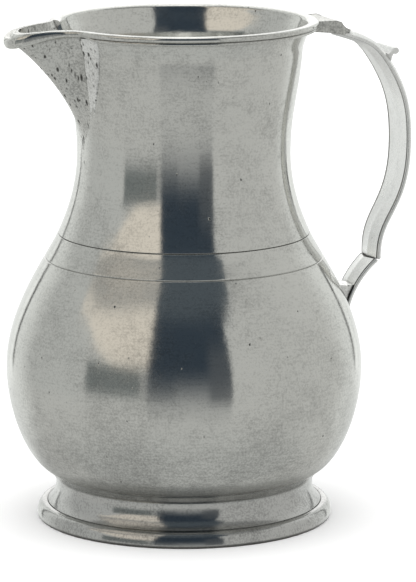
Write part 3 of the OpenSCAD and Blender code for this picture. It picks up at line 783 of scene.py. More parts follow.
def follow_tree(piece, name, **values):
    """Puts a tree on a piece, sets its inputs, and makes the result a plain mesh."""
    tree = bpy.data.node_groups[name]
    modifier = piece.modifiers.new(name, "NODES")
    modifier.node_group = tree
    for item in tree.interface.items_tree:
        if item.in_out == "INPUT" and item.name in values:
            modifier[item.identifier] = values[item.name]
    bake(piece)


def cast(piece, node, vessel, material, slot, depth=0.0, size=1.0, crease=32):
    """Gives a closed piece the wobble and the pits of its casting, and finishes it."""
    follow_tree(piece, "Cast pits", Depth=depth, Size=size, Stray=vessel.sizes.wobble,
                Material=material)
    close_up(piece, crease)
    finish_piece(piece, material, slot, node)


def mark_pitting(piece, amounts):
    """How much each point of a casting's skin may sink, from 0 to 1."""
    layer = piece.data.attributes.new("pitting", "FLOAT", "POINT")
    layer.data.foreach_set("value", np.asarray(amounts).astype(np.float32))


# Finishes

def new_material(name):
    material = bpy.data.materials.new(name)
    material.use_nodes = True
    material.node_tree.nodes.clear()
    return material


def streaks(nodes, place, pitch, around):
    """Noise drawn out round the axis: its lines are a pitch apart, both up a wall and
    outwards across a flat, and change a number of times round the vessel."""
    flat = nodes.vectors("MULTIPLY", place, LEVEL)
    way = nodes.split(nodes.vectors("NORMALIZE", flat))
    turn = around / 6
    ring = nodes.join(nodes.times(way[0], turn), nodes.times(way[1], turn),
                      nodes.times(nodes.split(place)[2], 1 / pitch))
    outwards = nodes.times(nodes.vectors("LENGTH", flat), 1 / pitch)
    return nodes.noise(ring, 1.0, 2.0, 0.6, w=outwards)


def pits(nodes, place, scale, share_kept, size, drawn_out=0.6):
    """Scattered dents: one where each chosen cell's centre is near."""
    place = nodes.vectors("MULTIPLY", place, (1.0, 1.0, drawn_out))
    wander = nodes.scaled(nodes.noise(place, scale * 1.7, output="Color"), DENT_WARP / scale)
    cells = nodes.add("ShaderNodeTexVoronoi", named={
        "Vector": nodes.vectors("ADD", place, wander), "Scale": scale}).outputs
    pick = nodes.split(cells["Color"])
    edge = nodes.times(nodes.ease(pick[1], 0.0, 1.0, 0.35, 1.0), size)
    near = nodes.ease(nodes.minus(cells["Distance"], edge), -size * 0.6, 0.0, 1.0, 0.0)
    return nodes.times(near, nodes.maths("LESS_THAN", pick[0], share_kept))


def pewter(name, tint, finish, turned=1.0, pitting=1.0, mottle=1.0, anisotropy=0.7, rough=0.0,
           low=0.0, side_shade=0.0, drawn_out=0.6, pit_width=0.30):
    """Pewter, turned on a lathe or filed by hand, with dirt in its pits and painted shade in
    its corners. Above nil, low paints shade on the wall towards the foot, and the side
    share paints shade on faces that look sideways."""
    nodes = Nodes(new_material(name).node_tree)
    position = nodes.add("ShaderNodeTexCoord").outputs
    place = position["Object"]
    pitch, relief = finish.line_pitch, finish.line_relief
    cloud = nodes.noise(place, CLOUD_SCALE, 5.0, 0.62)
    blotch = nodes.noise(place, BLOTCH_SCALE, 3.0, 0.65)
    grain = nodes.noise(place, GRAIN_SCALE, 2.0, 0.6)
    dents = nodes.maths(
        "MAXIMUM", pits(nodes, place, DENT_SCALE, 0.02 * pitting, pit_width, drawn_out),
        pits(nodes, place, DISH_SCALE, 0.04 * pitting, 0.10))
    # How closed in each point is, which paints shade into the corners
    corner = nodes.add("ShaderNodeAmbientOcclusion", samples=6, named={"Distance": CORNER_SHADE_REACH})

    shades = [nodes.ease(cloud, 0.32, 0.70, -0.08 * mottle, 0.20 * mottle),
              nodes.ease(blotch, 0.40, 0.78, -0.03 * mottle, 0.12 * mottle),
              nodes.ease(grain, 0.32, 0.68, -0.17 * mottle, 0.21 * mottle)]
    layers = [nodes.times(grain, 0.0000045 * mottle), nodes.times(blotch, 0.000014 * mottle),
              nodes.times(cloud, 0.00007)]
    if turned:
        drawn = streaks(nodes, place, pitch * 1.9, 60)
        shades.append(nodes.ease(drawn, 0.30, 0.72, -0.09 * turned, 0.11 * turned))
        layers += [nodes.times(streaks(nodes, place, pitch, 70), relief * turned),
                   nodes.times(drawn, relief * 2 * turned),
                   nodes.times(streaks(nodes, place, pitch * 6, 12), relief * 4.5 * turned)]
    # Painted shade: the wall grows darker towards the foot
    if low:
        up = nodes.split(place)[2]
        shades.append(nodes.ease(up, 0.068, 0.022, 0.0, low))
    # Painted shade: faces that look sideways are darker
    if side_shade:
        facing = nodes.maths("ABSOLUTE", nodes.split(position["Normal"])[1])
        shades.append(nodes.ease(facing, 0.6, 0.95, 0.0, side_shade))
    metal = nodes.blend(nodes.plus(*shades), (*tint, 1), (*[c * DARKEST_SHARE for c in tint], 1))
    # Dirt in the pits and painted shade in the corners, both in one dark colour
    grime_and_shade = nodes.maths("MAXIMUM", nodes.times(dents, 0.9),
                        nodes.ease(corner.outputs["AO"], 0.93, 0.46, 0.0, 0.95))
    metal = nodes.blend(grime_and_shade, metal, (*finish.grime_and_shade, 1))

    roughness = nodes.plus(nodes.ease(cloud, 0.3, 0.75, -0.02, 0.04), finish.roughness + rough,
                           nodes.ease(blotch, 0.40, 0.80, 0.0, 0.05 * mottle), nodes.times(grime_and_shade, 0.35))
    if low:
        roughness = nodes.plus(roughness, nodes.ease(up, 0.034, 0.024, 0.0, 0.25))
    surface = nodes.minus(nodes.plus(*layers), nodes.times(dents, DENT_DEPTH))
    bump = nodes.add("ShaderNodeBump", named={"Strength": 1.0, "Distance": 1.0, "Height": surface})

    looks = {"Base Color": metal, "Roughness": roughness, "Normal": bump.outputs[0], "Metallic": 1.0}
    if anisotropy:
        tangent = nodes.add("ShaderNodeTangent", direction_type="RADIAL", axis="Z")
        looks.update({"Anisotropic": anisotropy, "Anisotropic Rotation": 0.25,
                      "Tangent": tangent.outputs[0]})
    shader = nodes.add("ShaderNodeBsdfPrincipled", named=looks)
    nodes.add("ShaderNodeOutputMaterial", shader.outputs[0])


FILED = {"turned": 0, "anisotropy": 0}
FINISHES = [
    # The turned pewter's low paints shade on the wall towards the foot
    ("Turned pewter", "pewter", {"low": 0.34}),
    ("Foot pewter", "foot", {"turned": 0.8, "mottle": 1.3, "rough": 0.01}),
    ("Spout pewter", "spout", {**FILED, "pitting": 38, "mottle": 1.7, "rough": 0.12,
                               "drawn_out": 0.26, "pit_width": 0.44}),
    # The handle's lighter colour paints on it the light that it catches
    ("Handle pewter", "strap", {**FILED, "pitting": 0.8, "mottle": 0.6, "rough": 0.14}),
    # The root's side share paints shade on its sideways faces
    ("Root pewter", "pewter", {**FILED, "pitting": 4, "mottle": 1.6, "rough": 0.14, "side_shade": 0.17}),
    ("Filed solder", "solder", {**FILED, "pitting": 45, "mottle": 1.2, "rough": 0.12,
                                "drawn_out": 0.4, "pit_width": 0.46}),
]


def finishes():
    """The pitcher's finishes, made once."""
    finish = bpy.context.scene.pitcher_finish
    for name, tint, choices in FINISHES:
        if name not in bpy.data.materials:
            pewter(name, getattr(finish, tint), finish, **choices)
    return bpy.data.materials


def lines():
    scene = bpy.context.scene
    vessel = Vessel(scene.pitcher_vessel)
    return vessel, Beak(scene.pitcher_spout, vessel)


# Operators

class PITCHER_OT_trees(Operator):
    """Makes the node trees that the turned and cast pieces share"""
    bl_idname = "pitcher.trees"
    bl_label = "Node trees"

    def execute(self, context):
        wobble_tree()
        turned_wall_tree()
        cast_pits_tree()
        return {"FINISHED"}


class PITCHER_OT_turned_walls(Operator):
    """Turns the foot, both castings of the bowl and the rim moulding"""
    bl_idname = "pitcher.turned_walls"
    bl_label = "Turned walls"

    def execute(self, context):
        vessel, beak = lines()
        gap = beak.kink + context.scene.pitcher_spout.kink_run
        for node, finish, slot, gap_beside in [
                ("foot_ring", "Foot pewter", "foot_pewter", 0.0),
                ("foot_solder", "Filed solder", "solder", 0.0),
                ("lower_bowl", "Turned pewter", "cast_pewter", 0.0),
                ("upper_bowl", "Turned pewter", "cast_pewter", 0.0),
                ("rim_moulding", "Turned pewter", "cast_pewter", gap)]:
            outline = getattr(vessel, node)()
            self.turn(vessel.sizes, node, outline, finishes()[finish], slot, gap_beside)
        return {"FINISHED"}

    def turn(self, sizes, node, outline, material, slot, gap):
        """A wall all round, or with a gap on each side of the spout."""
        if outline[0][0] > DOUBLE:
            outline = np.concatenate([outline, outline[:1]])
        points = np.column_stack([outline[:, 0], np.zeros(len(outline)), outline[:, 1]])
        edges = [(k, k + 1) for k in range(len(points) - 1)]
        piece = new_object(node + "_finished", points, edges=edges)
        follow_tree(piece, "Turned wall", Around=sizes.around, Start=pi + gap,
                    Sweep=2 * pi - 2 * gap, Stray=sizes.wobble, Material=material)
        close_up(piece)
        finish_piece(piece, material, slot, node)


class PITCHER_OT_neck(Operator):
    """Makes the neck, cut open behind the spout"""
    bl_idname = "pitcher.neck"
    bl_label = "Neck"
    collar_steps = 7
    above_lap = 0.0004

    def execute(self, context):
        vessel, beak = lines()
        sizes = vessel.sizes
        outer, inner = self.walls(vessel)
        lap_top = sizes.shoulder_height + sizes.lap_height + self.above_lap
        first = int(np.argmax(outer[:, 1] > lap_top))
        tongue = vessel.tongue(NAPE, sizes.shoulder_height)
        loop = np.concatenate([outer, inner[first:][::-1], tongue[::-1]])
        half = beak.opening_half(loop[:, 1])
        opening = np.arcsin(np.clip(half / loop[:, 0], 0, 1))
        across = np.linspace(0, 1, sizes.around + 1)
        turn = opening[:, None] + across * (2 * pi - 2 * opening[:, None])
        x, y = -loop[:, :1] * np.cos(turn), loop[:, :1] * np.sin(turn)
        points = np.stack([x, y, np.broadcast_to(loop[:, 1:], x.shape)], -1)
        rows, columns = x.shape
        faces = grid_faces(rows + 1, columns).tolist()
        inside = {k: 2 * len(outer) - 1 - k for k in range(first, len(outer))}
        for side in (0, columns - 1):
            for k in range(first, len(outer) - 1):
                if opening[k + 1] > 0:
                    ring = [k, k + 1, inside[k + 1], inside[k]]
                    faces.append([row * columns + side for row in ring])
        points = np.concatenate([points, points[:1]]).reshape(-1, 3)
        piece = new_object("neck_finished", points, faces)
        close_up(piece)
        cast(piece, "neck", vessel, finishes()["Turned pewter"], "cast_pewter")
        return {"FINISHED"}

    def walls(self, vessel):
        """Outer points from the incised line to the rim, and an inner one for each."""
        sizes, line = vessel.sizes, vessel.line
        half = vessel.groove_half(NAPE)
        nape = np.concatenate([[line.on(SHOULDER, 1, sizes.line_depth)], line.run(NAPE, half, 1, 64)])
        outer = np.concatenate([eased(nape, WORN / 2), line.run(THROAT, 0.015, 1, 64),
                                line.run(FLARE, 0.04, 1, 24)])
        mouth_r = vessel.collar_top_r - sizes.mouth_inset
        foot = vessel.rim - sizes.mouth_round
        inner = np.column_stack([vessel.neck_inner_r(outer[:, 1]), outer[:, 1]])
        climb = np.linspace(vessel.collar, vessel.rim, self.collar_steps + 1)[1:]
        outer = np.concatenate([outer, np.column_stack([vessel.neck_r(climb), climb])])
        foot_r = float(vessel.neck_inner_r(foot))
        turns = np.linspace(0, pi / 2, self.collar_steps)
        rounding = np.column_stack([foot_r + (mouth_r - foot_r) * (1 - np.cos(turns)),
                                    foot + sizes.mouth_round * np.sin(turns)])
        return outer, np.concatenate([inner, rounding])


class PITCHER_OT_spout(Operator):
    """Makes the beak, its moulded lip and the solder seams beside it"""
    bl_idname = "pitcher.spout"
    bl_label = "Spout"
    # Level lines of the beak and steps along half of each, then steps along half the lip
    # and along its lead from the rim
    rows, steps = 170, 110
    plan_steps, lead_steps = 84, 16
    # Where the handles of the lip's plan lie: a share of its span, and one of its half width
    plan_pulls = ((0.22, -0.62), (-0.01, 0.70))
    # How far under the lip the pitting takes to reach its full depth
    pitting_fade = 0.0025
    # How far before the kink the lip begins to turn into the rim's moulding, and how far
    # behind the moulding's face its points over the roll and under the bead lie
    turn_lead = radians(2.5)
    roll_back, bead_back = (0.0021, 0.0016), 0.0030
    # How far the lip's face draws back at its top and its foot, and where the points
    # behind that face lie
    lip_hollow, lip_undercut = 0.00075, 0.0010
    lip_back, lip_under, lip_root_in = 0.0010, (0.0013, 0.00005), 0.0003
    # The solder's rings and points across, its rise over the collar, and its pitting
    solder_rows, solder_columns = 150, 22
    solder_over_collar, solder_pitting = 0.0007, 0.8
    # How much of its width the solder fills, from the beak's lowest point up to the rim
    solder_fill = ([0, 0.2, 0.42, 0.65, 1], [0.14, 0.2, 0.5, 0.98, 0.9])
    # Where it starts on the beak, how it leaves both walls, and its bead and crease
    solder_start, solder_pull, tangent_step = 0.13, 0.36, 0.0004
    bead_out, bead_sunk, crease = 0.00098, 0.00012, 0.0014

    def execute(self, context):
        self.vessel, self.beak = lines()
        looks = finishes()
        self.make_beak(looks["Spout pewter"])
        self.make_lip(looks["Turned pewter"])
        self.make_solder(looks["Filed solder"])
        return {"FINISHED"}

    def make_beak(self, material):
        outer, inner = self.beak.sheets(self.rows, self.steps)
        rows, columns = outer.shape[:2]
        points = np.concatenate([outer.reshape(-1, 3), inner[1:].reshape(-1, 3)])
        behind = np.arange(rows * columns)
        behind[columns:] += (rows - 1) * columns
        faces = grid_faces(rows, columns)
        hidden = behind[faces][:, ::-1]
        last = np.arange((rows - 1) * columns, rows * columns)
        edge_top = np.stack([last[:-1], behind[last[:-1]], behind[last[1:]], last[1:]], -1)
        cheeks = []
        for side in (0, columns - 1):
            edge = np.arange(rows) * columns + side
            cheeks += [[a, b, behind[b], behind[a]] for a, b in zip(edge[1:], edge[2:])]
            cheeks.append([edge[0], edge[1], behind[edge[1]]])
        faces = np.concatenate([faces, hidden, edge_top]).tolist() + cheeks
        piece = new_object("spout_finished", points, faces)
        close_up(piece)
        mark_pitting(piece, self.beak_pitting(piece))
        self.cast_pitted(piece, "spout", material, "cast_pewter")

    def cast_pitted(self, piece, node, material, slot):
        sizes = self.beak.sizes
        cast(piece, node, self.vessel, material, slot, sizes.pit_depth, sizes.pit_size)

    def beak_pitting(self, piece):
        """Full pitting on the beak's flanks, and none at the lip or inside."""
        co, normals = [np.array([getattr(v, name) for v in piece.data.vertices])
                       for name in ("co", "normal")]
        low = self.beak.edge_z(self.beak.lip_bottom, -co[:, 0])
        amount = smooth(0.0, self.pitting_fade, low - co[:, 2])
        outward = np.sign(normals[:, 0] * co[:, 0] + normals[:, 1] * co[:, 1])
        return amount * np.clip(outward, 0, 1)

    def lip_plan(self):
        """The lip's outer line on one side, and the way of each of its first points,
        where the rim's moulding turns into the lip."""
        vessel, beak = self.vessel, self.beak
        start = vessel.rim_r * np.array([cos(beak.kink), sin(beak.kink)])
        tip = np.array([beak.sizes.reach, 0])
        span = tip[0] - start[0]
        b, c = [end + [span * along, start[1] * aside]
                for end, (along, aside) in zip((start, tip), self.plan_pulls)]
        plan = cubic(start, b, c, tip, np.linspace(0, 1, self.plan_steps + 1)[:, None])
        along = beak.kink + beak.sizes.kink_run * np.linspace(1, 0, self.lead_steps + 1)[:-1]
        ways = np.column_stack([np.cos(along), np.sin(along)])
        return np.concatenate([ways * vessel.rim_r, plan]), ways

    def make_lip(self, material):
        vessel, beak = self.vessel, self.beak
        plan, ways = self.lip_plan()
        roots = []
        for height, collar_r, collar_z in ((beak.rim, vessel.collar_top_r, beak.rim),
                                           (beak.rim - beak.sizes.lip_height, vessel.collar_r,
                                            vessel.collar)):
            row = beak.level_line(height, beak.nose_reach, beak.edge_half(height), self.plan_steps)
            lead = np.column_stack([ways * collar_r, np.full(len(ways), collar_z)])
            roots.append(np.concatenate([lead, row[:self.plan_steps + 1] * [-1, 1, 1]]))
        sections = [self.lip_section(*spots) for spots in zip(plan, *roots)]
        sections += [section * [1, -1, 1] for section in sections[-2::-1]]
        piece = skin("spout_lip_finished", sections)
        close_up(piece)
        cast(piece, "spout_lip", vessel, material, "cast_pewter", crease=40)

    def lip_section(self, p, top, low):
        """One section of the lip, from its root over the top and round its face."""
        vessel, beak = self.vessel, self.beak
        azimuth = atan2(p[1], p[0])
        turned = float(smooth(beak.kink - self.turn_lead, beak.kink + beak.sizes.kink_run, azimuth))
        face = vessel.moulding()[::-1]
        backs = (vessel.rim_r - vessel.collar_top_r, *self.roll_back)
        moulding = np.concatenate([
            [(back, 0) for back in backs],
            np.column_stack([vessel.rim_r - face[:, 0], face[:, 1] - vessel.rim]),
            [(back, -vessel.moulding_height)
             for back in (self.bead_back, vessel.rim_r - vessel.collar_r)]])
        deep = np.linalg.norm(p - top[:2])
        inwards = (top[:2] - p) / deep
        high, bottom = vessel.rim, vessel.rim - beak.sizes.lip_height
        if azimuth <= beak.kink:
            high, bottom = [float(beak.edge_z(edge, p[0])) for edge in (beak.lip_top, beak.lip_bottom)]
        tall = high - bottom
        q = np.linspace(0, 1, len(face))
        offset = self.lip_hollow * np.clip((0.42 - q) / 0.42, 0, 1) ** 2.4
        offset = offset + self.lip_undercut * np.clip((q - 0.55) / 0.45, 0, 1) ** 2.2
        lip = np.concatenate([
            [(deep, 0), (deep * 0.7, 0), (self.lip_back + deep * 0.1, 0)],
            np.column_stack([offset, -q * tall]),
            [(self.lip_under[0], -tall - self.lip_under[1]), (deep, -tall)]])
        shape = mix(lip, moulding, turned)
        across = p + inwards * shape[:, :1]
        section = np.column_stack([-across[:, 0], across[:, 1], high + shape[:, 1]])
        section[0] = [-top[0], top[1], top[2]]
        inside = low[:2] + inwards * self.lip_root_in * (1 - turned)
        section[-1] = [-inside[0], inside[1], low[2]]
        return section

    def make_solder(self, material):
        beak, top = self.beak, self.vessel.collar + self.solder_over_collar
        side = []
        for height in np.linspace(beak.low_ring, top, self.solder_rows):
            half = beak.edge_half(height)
            row = beak.level_line(height, beak.reach_at(height), half, self.steps)
            side.append(self.solder_ring(height, half, row))
        side = np.array(side)
        count, size = side.shape[:2]
        one = grid_faces(count, size, wrap=True).tolist()
        one += [list(range(size)), list(range((count - 1) * size, count * size))]
        faces = one + [[k + count * size for k in face] for face in one]
        points = np.concatenate([side, side * [1, -1, 1]]).reshape(-1, 3)
        piece = new_object("spout_solder_finished", points, faces)
        close_up(piece)
        mark_pitting(piece, np.full(len(piece.data.vertices), self.solder_pitting))
        self.cast_pitted(piece, "spout_solder", material, "solder")

    def solder_ring(self, height, half, row):
        """A level section of the solder on one side, from the beak's flank to the neck."""
        beak, neck_r = self.beak, float(self.vessel.neck_r(height))
        fill = np.interp((height - beak.apex) / (beak.rim - beak.apex), *self.solder_fill)
        out = half + beak.sizes.solder_w * fill
        first = self.steps * self.solder_start * min(1, fill + 0.35)

        def on_beak(place):
            k = int(place)
            return mix(row[k], row[k + 1], place - k)

        def on_neck(y, sink=0.0):
            r = neck_r - sink
            return np.array([-np.sqrt(r * r - y * y), y, height])

        start, end = on_beak(first), on_neck(out)
        chord = np.linalg.norm(end - start)
        leave = unit(on_beak(first - 2) - start)
        arrive = unit(on_neck(out - self.tangent_step) - end)
        b, c = [spot + way * chord * self.solder_pull for spot, way in ((start, leave), (end, arrive))]
        across = (end - start) / chord
        outwards = np.array([across[1], -across[0], 0])
        outwards *= -np.sign(outwards[0])
        face = []
        for t in (1 - np.cos(np.linspace(0, pi, self.solder_columns))) / 2:
            aside = abs(2 * t - 1)
            stand = self.bead_out * min(1, fill + 0.05) * (1 - aside ** 11) - self.bead_sunk
            stand -= self.crease * (1 - fill) ** 2 * (1 - aside ** 1.5)
            face.append(cubic(start, b, c, end, t) + outwards * stand)
        hidden = [on_neck(mix(out, half, t), BURIED) for t in (0.3, 0.7, 1.0)]
        centre = np.array([-neck_r * 0.9, 0, height])
        inside = [on_beak(place) for place in np.linspace(1, first - 1, 4)]
        return face + hidden + [p + unit(centre - p) * BURIED for p in inside]


class PITCHER_OT_handle(Operator):
    """Makes the handle: root block, strap, thumb rest, strut and their solder"""
    bl_idname = "pitcher.handle"
    bl_label = "Handle"
    steps = 44
    # Where the strap bends, as shares of the way out and down to its outermost point
    bend_place = (0.757, 0.353)
    # The crown's height at its edges as a share of the strap's thickness, and the same
    # where the strap is let in
    crown_share, let_in_crown_share = 0.86, 0.9
    # The share of the strap's first stretch that is let in, how much of that stays
    # narrow, and the step out of it
    let_in, let_in_narrow, let_in_step = 0.125, 0.4, 0.004
    # The thumb rest's place along that stretch
    thumb_place = 0.86
    # How far the root block stands out beside the strap, and its worn edge
    root_over, root_round = 0.00012, 0.0005
    # How the root's solder leaves the neck and reaches the root, and how far the strut's
    # solder lies over the strut, in the belly and behind its crest
    solder_pull = (0.0006, 0.0004)
    strut_over, crest_in, crest_back = 0.0004, 0.0003, (0.0008, 0, 0.001)

    def execute(self, context):
        self.sizes = context.scene.pitcher_handle
        self.vessel = lines()[0]
        looks = finishes()
        s, rim = self.sizes, self.vessel.rim
        start, start_z = self.vessel.rim_r + s.set_out, rim - s.start_drop
        reach, reach_z = s.reach - s.strap_t, rim - s.reach_drop
        self.knee = (s.reach - s.knee_inset, reach_z - s.knee_drop)
        foot_z = self.knee[1] - s.strut_drop
        out, down = self.bend_place
        self.strap = Line([
            (start, start_z, -19),
            (start + (reach - start) * out, start_z - (start_z - reach_z) * down, -59),
            (reach, reach_z, -90), (*self.knee, -88)],
            [(0.48, 0.49), (0.39, 0.39), (0.57, 0.40)])
        self.strut = Line([(self.knee[0] - s.strap_t * 0.12, self.knee[1] + s.strap_t * 0.1, -141),
                           (self.belly_r(foot_z) + s.strap_t * 0.15, foot_z, -103)], [(0.33, 0.33)])
        self.make_strap(looks["Handle pewter"])
        self.make_root(start, looks["Root pewter"])
        self.make_thumb_rest(looks["Handle pewter"])
        self.make_strut(looks["Handle pewter"])
        self.make_root_solder(looks["Filed solder"])
        self.make_strut_solder(looks["Filed solder"])
        return {"FINISHED"}

    def belly_r(self, height):
        line = self.vessel.line
        return float(line.on(SHOULDER, line.find(SHOULDER, 1, height))[0])

    def section(self, line, stretch, t, width, ridge, crown=crown_share):
        """A cross-section of the strap: a ridge inside, a thin edge and a crown."""
        s = self.sizes
        edge, half, flat, e = s.strap_edge_t, width / 2, width / 2 - s.chamfer_w, s.edge_round
        inner = [(half * k, -ridge * (1 - k) ** 1.3) for k in (0, 0.06, 0.15, 0.3, 0.5, 0.7, 0.84)]
        inner += [(half - e * 5.4, 0), (half - e * 3.3, e * 1.9), (half - e * 1.4, 0)]
        side = [(half - e, 0), (half - e * 0.3, e * 0.3), (half, e), (half, edge - e * 0.7),
                (half - e * 0.25, edge - e * 0.1), (half - e * 0.9, edge + e * 0.25)]
        top = crown * s.strap_t
        outer = [(flat + e * 1.6, mix(edge, top, 0.9)), (flat + e * 0.4, top - e * 0.12),
                 (flat - e, top + e * 0.08)]
        outer += [(flat * k, mix(s.strap_t, top, k ** 1.6)) for k in (0.75, 0.5, 0.25, 0.1)]
        right = inner + side + outer
        shape = right + [(0, s.strap_t)] + [(-y, b) for y, b in right[:0:-1]]
        p, out = line.on(stretch, t), line.left(stretch, t)
        return [(p[0] + out[0] * b, y, p[1] + out[1] * b) for y, b in shape]

    def make_strap(self, material):
        s = self.sizes
        widths = [s.strap_w, s.strap_w, mix(s.strap_w, s.knee_w, 0.35), s.knee_w]
        ridges = [s.ridge, s.ridge / 2, 0, s.ridge]
        let_in_end = self.let_in * self.let_in_narrow
        rings = [self.section(self.strap, 0, t, s.strap_w - s.strap_edge_t, 0, self.let_in_crown_share)
                 for t in np.linspace(0, let_in_end, 7)]
        for stretch in range(3):
            first = let_in_end + self.let_in_step if stretch == 0 else 0
            shares = np.linspace(first, 1, self.steps)
            for t in shares if stretch == 2 else shares[:-1]:
                rings.append(self.section(self.strap, stretch, t, mix(*widths[stretch:stretch + 2], t),
                                          mix(*ridges[stretch:stretch + 2], t)))
        solid("handle_strap", rings, material, "cast_pewter", crease=38)

    def crown(self, t, height=None):
        return self.strap.on(0, t, self.sizes.strap_t if height is None else height)

    def make_root(self, start, material):
        """The block that carries the strap, hollowed down to it by a long curve."""
        s, v = self.sizes, self.vessel
        top, under = v.rim - s.root_drop, v.rim - s.start_drop
        way = self.strap.way(0, self.let_in)
        toe, heel = self.crown(self.let_in), self.strap.on(0, self.let_in * 0.5)
        fall = np.array([start + s.strap_t * 0.4, top - s.strap_t / 4])
        back = v.collar_r - v.sizes.wall * 0.4
        low = np.array([back, under + s.strap_edge_t])
        outline = np.concatenate([
            [(back, top), (fall[0] - s.strap_t * 0.7, top)],
            curve(fall, fall + s.strap_t * heading(-62) * 0.7, toe - way * s.strap_t * 0.8, toe, 14),
            curve(heel, heel - way * s.strap_t, low + [s.strap_t * 1.2, 0], low, 10)])
        half = s.strap_w / 2 + self.root_over
        solid("handle_root", [[(x, y, z) for x, z in outline] for y in (-half, half)], material,
              "cast_pewter", edge_round=self.root_round)

    def make_thumb_rest(self, material):
        """A dished flap across the strap that ends in a rolled edge."""
        s = self.sizes
        way, outwards = self.strap.way(0, self.thumb_place), self.strap.left(0, self.thumb_place)
        bar = self.crown(self.thumb_place) + s.thumb_stand * 1.1 * heading(35)
        flat = s.strap_w / 2 - s.chamfer_w
        rings = []
        for y in np.linspace(-s.thumb_half, s.thumb_half, 31):
            shrink = 1 - 0.12 * smooth(0.93, 1.0, abs(y) / s.thumb_half)
            sag = s.strap_t * (1 - self.crown_share) * min(abs(y), flat) / flat
            seat = self.crown(self.thumb_place, s.strap_t - sag)
            r = s.thumb_r * 1.12 * shrink
            roll = arc(bar, r, 135, -115, 16)
            first = seat - s.thumb_r * 1.25 * way
            last = seat + s.thumb_r * 1.45 * way
            dish = curve(first, first + way * s.thumb_r * 0.9, roll[0] - heading(45) * r * 0.8,
                         roll[0], 8)[:-1]
            under = curve(roll[-1], roll[-1] - heading(-25) * r * 0.8, last - heading(-10) * r * 0.1,
                          last, 5)[1:]
            sunk = [spot - outwards * BURIED for spot in (last, first)]
            rings.append([(x, y, z) for x, z in np.concatenate([dish, roll, under, sunk])])
        solid("thumb_rest", rings, material, "cast_pewter")

    def strut_width(self, t):
        return mix(self.sizes.strut_w, self.sizes.strut_end_w, t)

    def make_strut(self, material):
        """The strut, cut level where it meets the strap's end."""
        rings = []
        for t in np.linspace(0, 1, 40):
            ring = np.array(self.section(self.strut, 0, t, self.strut_width(t), self.sizes.ridge))
            way = self.strut.way(0, t)
            over = np.clip(ring[:, 2] - self.knee[1], 0, None) / -way[1]
            rings.append(ring + over[:, None] * [way[0], 0, way[1]])
        solid("handle_strut", rings, material, "cast_pewter", crease=38)

    def make_root_solder(self, material):
        """The solder in the corner under the root."""
        s, v = self.sizes, self.vessel
        tall = v.moulding_height / 2
        under = v.rim - s.start_drop + s.strap_edge_t
        half = s.strap_w / 2 - v.sizes.wall
        rings = []
        for y in np.linspace(-half, half, 21):
            bulge = 1 - 0.5 * (abs(y) / half) ** 3
            bow = v.collar_r - np.sqrt(v.collar_r ** 2 - y * y)
            wall = float(v.neck_r(under - tall * 1.4)) - bow
            low = np.array([wall - THIN, under - tall * 1.3 * bulge])
            high = np.array([v.collar_r + tall * bulge - bow * 0.5, under])
            face = curve(low, low + [self.solder_pull[0], tall * 0.5],
                         high - [tall * 0.4, self.solder_pull[1]], high, 7)
            rings.append([(x, y, z) for x, z in face + [(wall - BURIED, under)]])
        solid("root_solder", rings, material, "solder")

    def make_strut_solder(self, material):
        """The bump in the corner between the strut and the belly."""
        s = self.sizes
        rings = []
        for aside in np.linspace(-0.82, 0.82, 27):
            dip = s.ridge * (1 - abs(aside)) ** 1.7
            face = []
            for t in np.linspace(0.9, 0.6, 7):
                p = self.strut.on(0, t, -dip - THIN * (1 - abs(aside)))
                face.append(np.array([p[0] + self.strut_over, aside * self.strut_width(t) / 2, p[1]]))
            high = face[-1]
            y, crest_z = high[1], high[2] + s.strap_t * (0.55 - 0.35 * aside ** 2)
            crest_x = np.sqrt(self.belly_r(crest_z) ** 2 - y * y) - self.crest_in
            crest = np.array([crest_x, y, crest_z])
            middle = (high + crest) / 2 - np.array([s.strap_t * 0.28, 0, s.strap_t * 0.28])
            fillet = [bend(high, middle, crest, t) for t in np.linspace(0, 1, 9)[1:]]
            deep = [crest - self.crest_back, face[0] - [s.strap_t * 0.5, 0, 0]]
            rings.append(face + fillet + deep)
        solid("strut_solder", rings, material, "solder")


